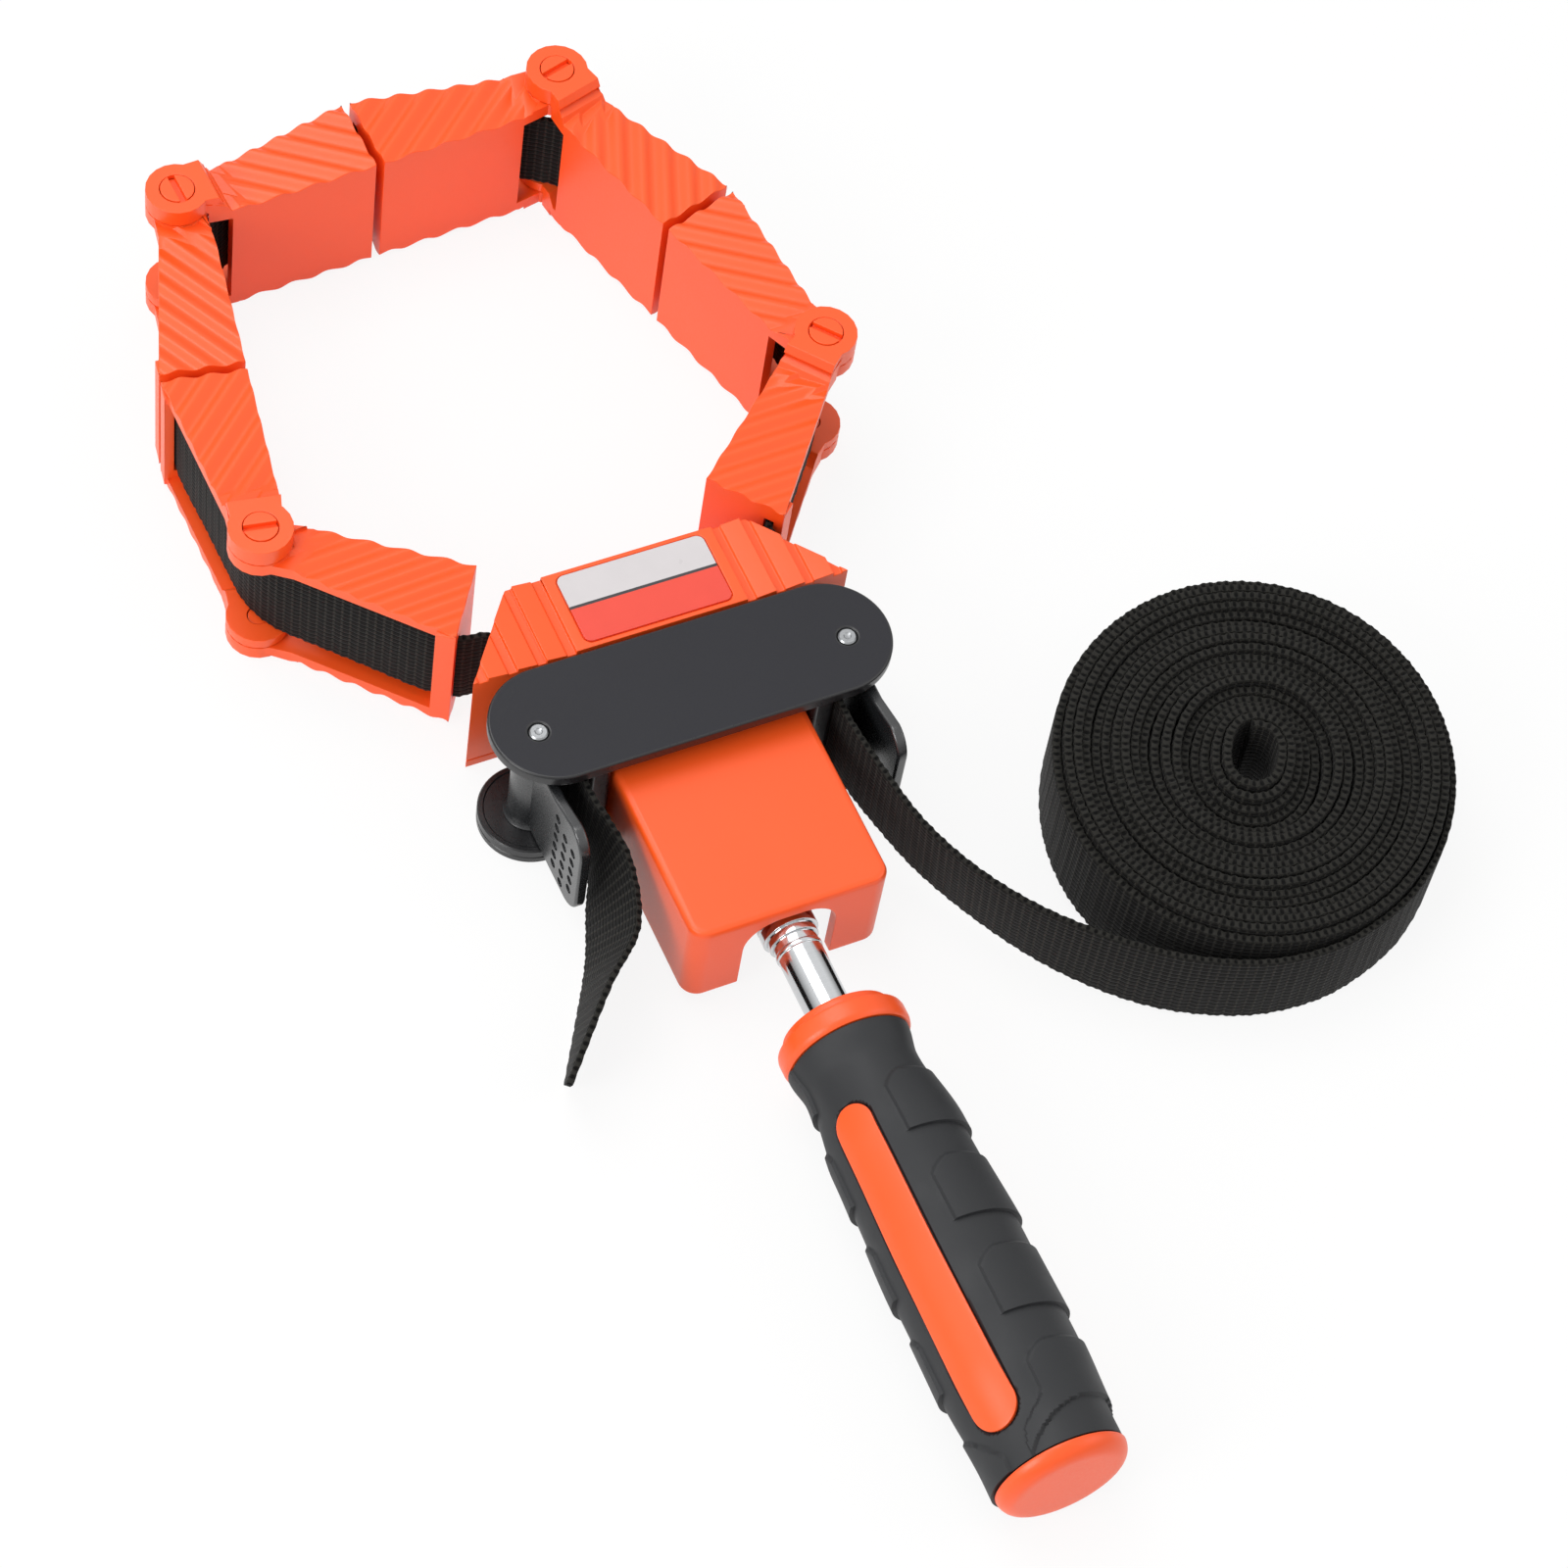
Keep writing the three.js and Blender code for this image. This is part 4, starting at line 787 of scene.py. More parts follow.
# Strap
def smooth_route(points, step):
    """Points every step along a centripetal Catmull-Rom curve through the given ones."""
    pts = [Vector(p) for p in points]
    pts = [2 * pts[0] - pts[1]] + pts + [2 * pts[-1] - pts[-2]]
    fine = []
    for p0, p1, p2, p3 in zip(pts, pts[1:], pts[2:], pts[3:]):
        t1 = (p1 - p0).length ** 0.5
        t2 = t1 + (p2 - p1).length ** 0.5
        t3 = t2 + (p3 - p2).length ** 0.5
        for k in range(ROUTE_STEPS):
            t = t1 + (t2 - t1) * k / ROUTE_STEPS
            a1 = p0.lerp(p1, t / t1)
            a2 = p1.lerp(p2, (t - t1) / (t2 - t1))
            a3 = p2.lerp(p3, (t - t2) / (t3 - t2))
            b1 = a1.lerp(a2, t / t2)
            b2 = a2.lerp(a3, (t - t1) / (t3 - t1))
            fine.append(b1.lerp(b2, (t - t1) / (t2 - t1)))
    return spaced(fine + [pts[-2]], step)


def spaced(line, step):
    """The same line with evenly spaced points."""
    reach = [0.0]
    for a, b in zip(line, line[1:]):
        reach.append(reach[-1] + (b - a).length)
    count = max(2, round(reach[-1] / step))
    even = []
    k = 0
    for i in range(count + 1):
        want = reach[-1] * i / count
        while k + 2 < len(reach) and reach[k + 1] < want:
            k += 1
        part = (want - reach[k]) / max(reach[k + 1] - reach[k], 1e-12)
        even.append(line[k].lerp(line[k + 1], min(part, 1.0)))
    return even


def route_length(line):
    return sum((b - a).length for a, b in zip(line, line[1:]))


def upright_stations(line, width):
    """Stations of strap on edge, from the line of its lower edge."""
    stations = []
    up = Vector((0, 0, 1))
    for i, p in enumerate(line):
        along = line[min(i + 1, len(line) - 1)] - line[max(i - 1, 0)]
        face = Vector((along.y, -along.x, 0)).normalized()
        stations.append((p + up * width / 2, up, face))
    return stations


def webbing_piece(name, stations, start=0.0, thick=None):
    """Strap with soft cross ribs and looped edges, through (middle, across, face) stations."""
    strap = bpy.context.scene.clamp_strap
    swollen = ((thick or strap.thick) - strap.thick) / 2
    points, marks = [], []
    run = start
    for i, (middle, across, face) in enumerate(stations):
        if i:
            run += (middle - stations[i - 1][0]).length
        rib = math.cos(2 * math.pi * run / strap.rib)
        hole = 0.5 + 0.5 * math.cos(2 * math.pi * run / strap.loop)
        half = strap.thick / 2 + swollen * min((run - start) / (ROLL_SWELL_IN * MM), 1)
        lift = half + strap.swell * rib
        lip = half * (LIP_SHARE + LIP_SWELL * hole)
        reach = strap.width / 2 + strap.scallop * (rib - 1)
        # One edge of the cross-section: inset, distance out of the face, place past the weave
        edge = [
            (EDGE_BAND * MM, lift, -EDGE_BAND * MM),
            (EDGE_LIP * MM, lip, LIP_PAST * MM),
            ((EDGE_LIP + EDGE_HOLE * hole) * MM, 0, HOLE_PAST * MM),
            (EDGE_LIP * MM, -lip, LIP_PAST * MM),
            (EDGE_BAND * MM, -lift, -EDGE_BAND * MM),
        ]
        for end, ring in ((1, edge), (-1, edge[::-1])):
            for inset, out, past in ring:
                points.append(middle + across * end * (reach - inset) + face * out)
                marks.append((run, strap.width / 2 + end * (strap.width / 2 + past)))
    size = 2 * len(edge)
    faces = []
    for i in range(len(stations) - 1):
        for k in range(size):
            a, b = size * i + k, size * i + (k + 1) % size
            faces.append((a, b, b + size, a + size))
    last = size * (len(stations) - 1)
    faces.append(tuple(range(size - 1, -1, -1)))
    faces.append(tuple(last + k for k in range(size)))
    piece = mesh_piece(name, points, (), faces)
    weave = piece.data.uv_layers.new(name="weave")
    for corner in piece.data.loops:
        weave.data[corner.index].uv = marks[corner.vertex_index]
    enter(piece)
    bpy.ops.mesh.normals_make_consistent(inside=False)
    leave()
    activate(piece)
    bpy.ops.object.shade_smooth()
    return piece


def metres(points):
    return [Vector(p) * MM for p in points]


def flat_route(points):
    return [Vector((x, y, STRAP_BASE)) * MM for x, y in points]


def heading(a, b):
    return math.atan2(b[1] - a[1], b[0] - a[0])


def half_jaws():
    """Hinge, direction and outer side of each half-jaw, from the frame's joints."""
    hinges = [JOINTS["corner_" + corner]["pos_m"] for corner in RAISED_HALVES]
    nl, fl, fr, nr = ([c / MM for c in hinge[:2]] for hinge in hinges)
    return {
        "near_left_head": (nl, NEAR_LEFT_HEAD_ANGLE, -1),
        "near_left_side": (nl, heading(nl, fl), 1),
        "far_left_side": (fl, heading(fl, nl), -1),
        "far_left_end": (fl, heading(fl, fr), 1),
        "far_right_end": (fr, heading(fr, fl), -1),
        "far_right_side": (fr, heading(fr, nr), 1),
        "near_right_side": (nr, heading(nr, fr), -1),
        "near_right_head": (nr, NEAR_RIGHT_HEAD_ANGLE, 1),
    }


def from_jaw(jaw, s, t):
    """Plan point at s along a half-jaw and t out of the loop from its hinge."""
    (x, y), angle, side = jaw
    c, n = math.cos(angle), math.sin(angle)
    return (x + s * c - side * t * n, y + s * n + side * t * c)


def jaw_strap(jaw, other, bend, offset):
    """Strap line in a half-jaw, from the middle of its corner to its end face."""
    opening = abs(jaw[1] - other[1]) % (2 * math.pi)
    half = min(opening, 2 * math.pi - opening) / 2
    back = bend - offset
    cs, ct = back * math.cos(half), -back * math.sin(half)
    away = (JAW_MOUTH - cs, JAW_SLOT - ct)
    first = math.pi - half
    last = math.atan2(away[1], away[0]) + math.acos(bend / math.hypot(*away))
    route = []
    for i in range(BEND_STEPS + 1):
        angle = first + (last - first) * i / BEND_STEPS
        route.append((cs + bend * math.cos(angle), ct + bend * math.sin(angle)))
    route += [(JAW_MOUTH, JAW_SLOT), (JAW_REACH, JAW_SLOT)]
    return [from_jaw(jaw, s, t) for s, t in route]


def split_middle(route):
    """Cuts a half-jaw's strap line midway along its straight part."""
    (x0, y0), (x1, y1) = route[-3], route[-2]
    middle = ((x0 + x1) / 2, (y0 + y1) / 2)
    return route[:-2] + [middle], [middle] + route[-2:]


class CLAMP_OT_stage(bpy.types.Operator):
    """Sets the camera, the lamps and the floor"""
    bl_idname = "clamp.stage"
    bl_label = "Stage"

    def execute(self, context):
        scene = context.scene
        scene.view_settings.view_transform = "Standard"
        right0 = SIGHT.cross(Vector((0, 0, 1))).normalized()
        up0 = right0.cross(SIGHT)
        right = right0 * math.cos(ROLL) + up0 * math.sin(ROLL)
        up = up0 * math.cos(ROLL) - right0 * math.sin(ROLL)
        eye = TARGET - SIGHT * DISTANCE
        deselect()
        bpy.ops.object.camera_add()
        camera = context.object
        turn = Matrix((right, up, -SIGHT)).transposed().to_4x4()
        camera.matrix_world = Matrix.Translation(eye) @ turn
        camera.data.lens = LENS
        camera.data.sensor_width = SENSOR
        scene.camera = camera
        self.lamps(context)
        self.room(context)
        self.floor(context)
        return {"FINISHED"}

    def lamps(self, context):
        """A soft box overhead, a smaller one on the left and a weaker one on the right."""
        for place_at, size, power in LAMPS:
            deselect()
            bpy.ops.object.light_add(type="AREA", location=place_at)
            lamp = context.object
            lamp.data.size = size
            lamp.data.energy = power
            aim = LAMP_AIM - Vector(place_at)
            lamp.rotation_euler = aim.to_track_quat("-Z", "Y").to_euler()

    def room(self, context):
        """White room whose reflections darken towards the horizon, which draws the chrome."""
        world = bpy.data.worlds.new("studio")
        context.scene.world = world
        world.use_nodes = True
        tree = world.node_tree
        shader = tree.nodes["Background"]
        rays = add_node(tree, "ShaderNodeLightPath").outputs
        way = add_node(tree, "ShaderNodeTexCoord").outputs["Generated"]
        height = add_node(tree, "ShaderNodeSeparateXYZ", {"Vector": way}).outputs["Z"]
        walls = ranged(tree, height, (HORIZON, OVERHEAD), (HORIZON_LIGHT, OVERHEAD_LIGHT))
        lit = add_node(tree, "ShaderNodeMix", {
            "Factor": rays["Is Glossy Ray"], "A": FILL, "B": walls}).outputs["Result"]
        seen = add_node(tree, "ShaderNodeMix", {"Factor": rays["Is Camera Ray"], "A": lit, "B": 1.0})
        tree.links.new(seen.outputs["Result"], shader.inputs["Strength"])
        shader.inputs["Color"].default_value = (1, 1, 1, 1)

    def floor(self, context):
        """White paper that keeps the clamp's soft shadow, and is white in reflections too."""
        deselect()
        bpy.ops.mesh.primitive_plane_add(size=PAPER_SIZE, location=(0, 0, -PAPER_DROP * MM))
        paper = context.object
        finish, tree, shader = new_finish("white_paper", Roughness=0.9, Specular_IOR_Level=0.1)
        shader.inputs["Base Color"].default_value = rgba(context.scene.clamp_colours.floor)
        glow = add_node(tree, "ShaderNodeEmission", {"Color": (1, 1, 1, 1), "Strength": 1.0})
        rays = add_node(tree, "ShaderNodeLightPath").outputs
        straight = worked(tree, "MAXIMUM", rays["Is Camera Ray"], rays["Is Glossy Ray"])
        clear = worked(tree, "MAXIMUM", straight, rays["Is Transmission Ray"])
        share = worked(tree, "MULTIPLY", clear, PAPER_WHITE)
        both = add_node(tree, "ShaderNodeMixShader", {
            "Fac": share, 1: shader.outputs["BSDF"], 2: glow.outputs["Emission"]})
        tree.links.new(both.outputs["Shader"], tree.nodes["Material Output"].inputs["Surface"])
        place(paper, "paper_floor", finish)


class CLAMP_OT_spare_strap(bpy.types.Operator):
    """Lays the free strap from the bridge to the roll, and winds the roll"""
    bl_idname = "clamp.spare_strap"
    bl_label = "Spare strap"

    def execute(self, context):
        strap = context.scene.clamp_strap
        step = strap.loop / 4
        guide = [(STRAP_X, y, STRAP_BASE) for y in (BRIDGE_INSIDE, BRIDGE_BACK - FREE_STRAIGHT)]
        guide += FREE_ROUTE
        meet = self.roll_point(0.0)
        back = (self.roll_point(-1.0) - self.roll_point(1.0)).normalized()
        free_line = smooth_route(metres(guide) + [meet + back * ROLL_APPROACH * MM, meet], step)
        on_roll = [self.roll_point(COIL_STEP * k) for k in range(1, COIL_JOIN_STEPS + 1)]
        line = spaced(free_line + on_roll, step)
        share = route_length(free_line) / route_length(line)
        stations = self.leaning(upright_stations(line, strap.width), share)
        free = webbing_piece("strap_free_run", stations)
        webbing = finish_named("woven_webbing")
        place(free, "strap_free_run", webbing, "bridge", ["strap_free"])

        steps = range(COIL_JOIN_STEPS, round(360 / COIL_STEP) * strap.turns)
        turns = [self.roll_point(COIL_STEP * k) for k in steps]
        turns += [self.roll_point(360.0 * strap.turns + COIL_END_STEP * k) for k in range(COIL_END_STEPS)]
        roll_line = spaced(turns, step)
        turned_in = self.swaying(upright_stations(roll_line, strap.width))
        roll = webbing_piece("strap_roll", turned_in, route_length(line), strap.roll_thick)
        place(roll, "strap_roll", webbing, "bridge", ["strap_coil"])
        return {"FINISHED"}

    def lean(self, station, shift):
        """Station with its upper edge shifted along the face."""
        middle, up, face = station
        across = (up * bpy.context.scene.clamp_strap.width + face * shift).normalized()
        return middle, across, (face - across * face.dot(across)).normalized()

    def leaning(self, stations, free_share):
        """Leans the strap near the box, with its lower edge outside."""
        leant = []
        for i, (middle, up, face) in enumerate(stations):
            share = min(i / (len(stations) - 1) / free_share / FREE_LEAN_SHARE, 1.0)
            shift = FREE_LEAN * MM * math.sin(math.pi * share) ** 2
            leant.append(self.lean((middle - face * shift / 2, up, face), shift))
        return leant

    def swaying(self, stations):
        """Turns of the roll that don't stand quite upright, so that no light falls between them."""
        step = bpy.context.scene.clamp_strap.loop / 4
        swayed = []
        for i, station in enumerate(stations):
            shift = ROLL_SWAY * math.sin(2 * math.pi * i * step / (ROLL_SWAY_LENGTH * MM))
            swayed.append(self.lean(station, shift * MM))
        return swayed

    def roll_point(self, degrees):
        """Lower edge of the roll at an angle from where the free strap meets it."""
        turns = max(degrees, 0.0) / 360
        settled = min(turns, 1.0)
        # Turns lie in looser and tighter groups at uneven heights, and the core is pressed out of round
        loose = LOOSE * settled * math.sin(2 * math.pi * turns / LOOSE_TURNS)
        angle = COIL_START + math.radians(degrees)
        press = COIL_STRETCH + CORE_PRESS * max(0.0, (turns - CORE_TURN) / CORE_TURNS)
        swell = 1 + press * math.cos(2 * (angle - COIL_LEAN))
        r = (COIL_RADIUS - STRAP_THICK / 2 - COIL_PITCH * turns + loose) * swell
        # A few turns round the core have sunk to the floor
        sunk = math.exp(-((turns - SUNK_TURN) / SUNK_SPREAD) ** 2)
        wave = RISE + RISE_SWING * math.sin(2 * math.pi * turns / RISE_TURNS - RISE_PHASE)
        wave += CORE_RISE * ease(turns - CORE_RISE_TURN, CORE_RISE_TURNS)
        rise = COIL_BASE + settled * wave * (1 - sunk)
        x, y = COIL_CENTRE
        return Vector((x + r * math.cos(angle), y + r * math.sin(angle), rise)) * MM


class CLAMP_OT_strap_tail(bpy.types.Operator):
    """Makes the short tail that leans out of the bridge on the left"""
    bl_idname = "clamp.strap_tail"
    bl_label = "Strap tail"

    def execute(self, context):
        strap = context.scene.clamp_strap
        top = STRAP_BASE + strap.width / MM
        straight = (BRIDGE_INSIDE, BRIDGE_BACK - TAIL_STRAIGHT)
        guide = [((-STRAP_X, y, STRAP_BASE), (-STRAP_X, y, top)) for y in straight] + TAIL_ROUTE
        low, high = (smooth_route(metres(edge), TAIL_FINE * MM) for edge in zip(*guide))
        count = round(route_length(low) / (strap.loop / 4))
        lows = [low[round(i * (len(low) - 1) / count)] for i in range(count + 1)]
        highs = [high[round(i * (len(high) - 1) / count)] for i in range(count + 1)]
        middles = [(a + b) / 2 for a, b in zip(lows, highs)]
        stations = []
        for i, middle in enumerate(middles):
            along = middles[min(i + TAIL_SPAN, count)] - middles[max(i - TAIL_SPAN, 0)]
            across = (highs[i] - lows[i]).normalized()
            stations.append((middle, across, along.cross(across).normalized()))
        tail = webbing_piece("strap_tail_end", stations)
        place(tail, "strap_tail_end", finish_named("woven_webbing"), "bridge", ["strap_tail"])
        return {"FINISHED"}


class CLAMP_OT_loop_strap(bpy.types.Operator):
    """Threads the strap through the head, the bridge and the jaws"""
    bl_idname = "clamp.loop_strap"
    bl_label = "Loop strap"

    def execute(self, context):
        jaws = half_jaws()
        for hand, side in HANDS:
            self.bridge_span(context, hand, side)
            chain = [f"near_{hand}_head", f"near_{hand}_side", f"far_{hand}_side", f"far_{hand}_end"]
            near, far = chain[:2], chain[2:]
            lines = {}
            for pair, bend in ((near, NEAR_BEND), (far, FAR_BEND)):
                for name, other in (pair, pair[::-1]):
                    lines[name] = split_middle(jaw_strap(jaws[name], jaws[other], *bend))
            self.head_span(context, hand, side, chain[0], lines)
            self.corner(context, *near, lines)
            self.run_span(context, near[1], far[0], lines)
            self.corner(context, *far, lines)
            self.last_end(context, chain[3], lines, jaws)
        return {"FINISHED"}

    def strip(self, context, name, route, nodes):
        strap = context.scene.clamp_strap
        line = smooth_route(flat_route(route), strap.loop / 4)
        piece = webbing_piece(name, upright_stations(line, strap.width))
        return place(piece, name, finish_named("woven_webbing"), None, nodes)

    def blend(self, piece, a, b, start, end):
        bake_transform(piece)

    def bridge_span(self, context, hand, side):
        """From the head's rear face through the bridge, which is drawn back by the screw."""
        x = side * STRAP_X
        route = [(x, y) for y in (HEAD_REAR - SPAN_LAP, *BRIDGE_GUIDES, BRIDGE_INSIDE + SPAN_LAP)]
        piece = self.strip(context, f"strap_bridge_span_{hand}", route, [f"strap_bridge_{hand}"])
        self.blend(piece, "housing", "bridge", (x, HEAD_REAR), (x, BRIDGE_BACK))

    def head_span(self, context, hand, side, jaw, lines):
        """From the head's rear face, out of its slanted end and into the first jaw."""
        x, y = ENTRY
        inside = [(STRAP_X, HEAD_REAR), ((STRAP_X + x) / 2, (HEAD_REAR + y) / 2), (x, y)]
        into = lines[jaw][1][::-1]
        route = [(side * x, y) for x, y in inside] + into
        piece = self.strip(context, f"strap_head_span_{hand}", route, [f"strap_head_{hand}"])
        self.blend(piece, "housing", "jaw_" + jaw, (side * ENTRY_OUT[0], ENTRY_OUT[1]), into[0])

    def corner(self, context, first, second, lines):
        """Round the outside of a hinge, from the middle of one half to the middle of the other."""
        route = lines[first][0][::-1] + lines[second][0][1:]
        nodes = [f"strap_{first}", f"strap_{second}"]
        piece = self.strip(context, f"strap_corner_{first}_to_{second}", route, nodes)
        start, end = (lines[half][0][BEND_STEPS // 2] for half in (first, second))
        self.blend(piece, "jaw_" + first, "jaw_" + second, start, end)

    def run_span(self, context, first, second, lines):
        """Across the gap between two jaws on a straight run."""
        route = lines[first][1] + lines[second][1][::-1]
        piece = self.strip(context, f"strap_run_{first}_to_{second}", route, ())
        self.blend(piece, "jaw_" + first, "jaw_" + second, lines[first][1][1], lines[second][1][1])

    def last_end(self, context, jaw, lines, jaws):
        """Up to the middle of the gap between the two far jaws."""
        tip = from_jaw(jaws[jaw], JAW_REACH + JAW_GAP / 2 - HAIR, JAW_SLOT)
        piece = self.strip(context, f"strap_run_{jaw}", lines[jaw][1] + [tip], ())
        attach(piece, "jaw_" + jaw)


class CLAMP_OT_housing(bpy.types.Operator):
    """Makes the head, its screw box, the cover below and the label film"""
    bl_idname = "clamp.housing"
    bl_label = "Head and screw box"

    def execute(self, context):
        edges = context.scene.clamp_edges
        for node in ("housing", "base_cover"):
            piece = cad_copy(node)
            if node == "housing":
                self.rib_grooves(piece)
            finish_copy(piece, node, node + "_moulding", "moulded_orange_abs", "housing",
                        edges.moulded)
        low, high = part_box("label_plate")
        film = slab("label_film", low, high, FILM_CORNER * MM)
        self.fields(film, low, high)
        round_edges(film, THIN_EDGE * MM)
        smooth(film)
        place(film, "label_film", None, "housing", ["label_plate"])
        return {"FINISHED"}

    def rib_grooves(self, piece):
        """Cuts a flat groove at the foot of each rib on top of the head."""
        floor, above = HEAD_TOP - HEAD_GROOVE_DEPTH, HEAD_TOP + CLEAR
        for k in range(HEAD_RIBS):
            x = HEAD_RIB_START + k * HEAD_RIB_PITCH
            far = x + HEAD_GROOVE
            outline = [(x, floor), (far, floor), (far + HEAD_GROOVE_SLOPE, above), (x, above)]
            for hand, side in HANDS:
                points = metres([(side * across, -HEAD_SIDE, z) for across, z in outline])
                cutter = prism("groove_" + hand, points, (0, 2 * HEAD_SIDE * MM, 0))
                combine(piece, cutter, "DIFFERENCE")

    def fields(self, film, low, high):
        """Divides the film by two cuts into an upper field, a line and a lower field."""
        deep = high.y - low.y
        cuts = [low.y + share * deep for share in FILM_CUTS]
        for y in cuts:
            enter(film)
            bpy.ops.mesh.bisect(plane_co=(0, y, low.z), plane_no=(0, 1, 0))
            leave()
        for name in ("film_red", "film_dark", "film_pale"):
            film.data.materials.append(finish_named(name))
        for face in film.data.polygons:
            face.material_index = sum(face.center.y > y for y in cuts)


class CLAMP_OT_jaws(bpy.types.Operator):
    """Makes the eight half-jaws and their hinge posts"""
    bl_idname = "clamp.jaws"
    bl_label = "Corner jaws"

    def execute(self, context):
        edges = context.scene.clamp_edges
        finish = "moulded_orange_abs"
        for name, jaw in half_jaws().items():
            node = "jaw_" + name
            piece = cad_copy(node)
            self.round_ribs(piece, jaw, RAISED_EAR if name in RAISED_HALVES.values() else PLAIN_EAR)
            self.soften_ear(piece, Vector(jaw[0]) * MM)
            finish_copy(piece, node, node + "_moulding", finish, node, edges.jaw)
        for corner, jaw in RAISED_HALVES.items():
            for level in ("top", "bottom"):
                node = f"pin_{level}_{corner}"
                finish_copy(cad_copy(node), node, f"hinge_post_{level}_{corner}", finish, "jaw_" + jaw,
                            POST_ROUND * MM)
        return {"FINISHED"}

    def round_ribs(self, piece, jaw, start):
        """Cuts both ribbed faces to round waves, from a distance off the hinge to the end."""
        (x, y), angle, side = jaw
        hinge = Vector((x, y, 0)) * MM
        along = Vector((math.cos(angle), math.sin(angle), 0))
        turn = angle + side * RIB_TURN
        square = Vector((math.cos(turn), math.sin(turn), 0))
        rib = Vector((-math.sin(turn), math.cos(turn), 0))
        last = math.ceil(RIB_CUT_REACH / RIB_PITCH) * RIB_STEPS
        for face, up in ((JAW_HEIGHT, 1), (0.0, -1)):
            wave = []
            for k in range(-RIB_STEPS, last + 1):
                depth = self.rib_depth(k % RIB_STEPS / RIB_STEPS)
                wave.append((RIB_FIRST + RIB_PITCH * k / RIB_STEPS, face - up * depth))
            wave += [(wave[k][0], face + up * RIB_CUT_RISE) for k in (-1, 0)]
            outline = [hinge + (square * u - rib * RIB_CUT_REACH + Vector((0, 0, z))) * MM for u, z in wave]
            cutter = prism("rib_cutter", outline, rib * 2 * RIB_CUT_REACH * MM)
            enter(cutter)
            top = hinge + (along * start + Vector((0, 0, face))) * MM
            slope = along * math.sin(RIB_FADE) + Vector((0, 0, up * math.cos(RIB_FADE)))
            bpy.ops.mesh.bisect(plane_co=top, plane_no=slope, use_fill=True, clear_inner=True)
            leave()
            close_up(cutter)
            combine(piece, cutter, "DIFFERENCE")

    def rib_depth(self, share):
        """Depth of the wave below the moulded face, at a share of a rib."""
        if share < RIB_RISE_SHARE:
            rise = share / RIB_RISE_SHARE
        else:
            rise = (1 - share) / (1 - RIB_RISE_SHARE)
        return RIB_VALLEY - (RIB_VALLEY - RIB_CREST) * ease(rise - 0.5, 1.0)

    def soften_ear(self, piece, hinge):
        """Rounds the raised ear and its ramp more than the rest of the moulding."""
        enter(piece)
        bpy.ops.mesh.select_all(action="DESELECT")
        bpy.ops.mesh.select_mode(type="EDGE")
        bpy.ops.mesh.edges_select_sharp(sharpness=EAR_SHARP)
        leave()
        found = 0
        for edge in piece.data.edges:
            ends = [piece.data.vertices[k].co for k in edge.vertices]
            away = [(end.xy - hinge).length / MM for end in ends]
            raised = min(end.z for end in ends) > EAR_HEIGHT * MM
            edge.select = edge.select and raised and min(away) > EAR_NEAR and max(away) < EAR_FAR
            found += edge.select
        if found:
            activate(piece)
            bpy.ops.object.mode_set(mode="EDIT")
            bpy.ops.mesh.bevel(offset=EAR_ROUND * MM, segments=3, affect="EDGES", clamp_overlap=True)
            leave()


class CLAMP_OT_bridge(bpy.types.Operator):
    """Makes the bridge that rides on the screw and carries the cam levers"""
    bl_idname = "clamp.bridge"
    bl_label = "Bridge"

    def execute(self, context):
        edges = context.scene.clamp_edges
        finish_copy(cad_copy("bridge_frame"), "bridge_frame", "bridge_frame_moulding", "moulded_black_nylon",
                    "bridge", edges.moulded)
        for hand, side in HANDS:
            self.foot_rim(hand, side)
            self.rivet(hand, side)
        self.top_plate(edges)
        finish_copy(cad_copy("screw_nut"), "screw_nut", "screw_hex_nut", "zinc_plated_steel",
                    "bridge", edges.metal)
        return {"FINISHED"}

    def foot_rim(self, hand, side):
        """Raised rim with a groove round each foot."""
        profile = [(12.2, 0.35), (12.75, 0.35), (12.75, 1.9), (12.45, 2.2), (12.75, 2.5), (12.75, 4.5),
                   (12.4, 4.9), (11.4, 4.9), (11.1, 4.62), (12.2, 4.62), (12.2, 0.35)]
        rim = upright_turned("foot_rim_" + hand, profile, side * PIN_X, BRIDGE_Y)
        smooth(rim, degrees=30)
        place(rim, "foot_rim_" + hand, finish_named("moulded_black_nylon"), "bridge")

    def rivet(self, hand, side):
        """Steel pin of a lever, its end dimpled where it was peened."""
        low, high = (point.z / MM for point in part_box("cam_pin_" + hand))
        profile = [(0, low), (PIN_RADIUS, low), (PIN_RADIUS, high - 0.35), (1.95, high), (1.0, high),
                   (0.7, high - 0.25), (0, high - 0.35)]
        pin = upright_turned("cam_pin_rivet_" + hand, profile, side * PIN_X, BRIDGE_Y, steps=40)
        smooth(pin, degrees=30)
        place(pin, "cam_pin_rivet_" + hand, finish_named("zinc_plated_steel"), "bridge",
              ["cam_pin_" + hand])

    def top_plate(self, edges):
        """Plate with round ends: satin on its top face, glossy round its rim."""
        low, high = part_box("bridge_plate")
        # The plate reaches further towards the head than towards the handle
        high.y += PLATE_LIP * MM
        plate = slab("bridge_top_plate", low, high, (high.y - low.y) / 2 - HAIR * MM, steps=32)
        for side in (-1, 1):
            bore(plate, side * PIN_X, BRIDGE_Y, PLATE_BORE, low.z / MM + PLATE_FLOOR, high.z / MM + CLEAR)
        round_edges(plate, edges.plate, segments=3)
        smooth(plate, degrees=30)
        for name in ("satin_grey_nylon", "moulded_black_nylon"):
            plate.data.materials.append(finish_named(name))
        for face in plate.data.polygons:
            face.material_index = 0 if face.normal.z > LEVEL else 1
        place(plate, "bridge_top_plate", None, "bridge", ["bridge_plate"])


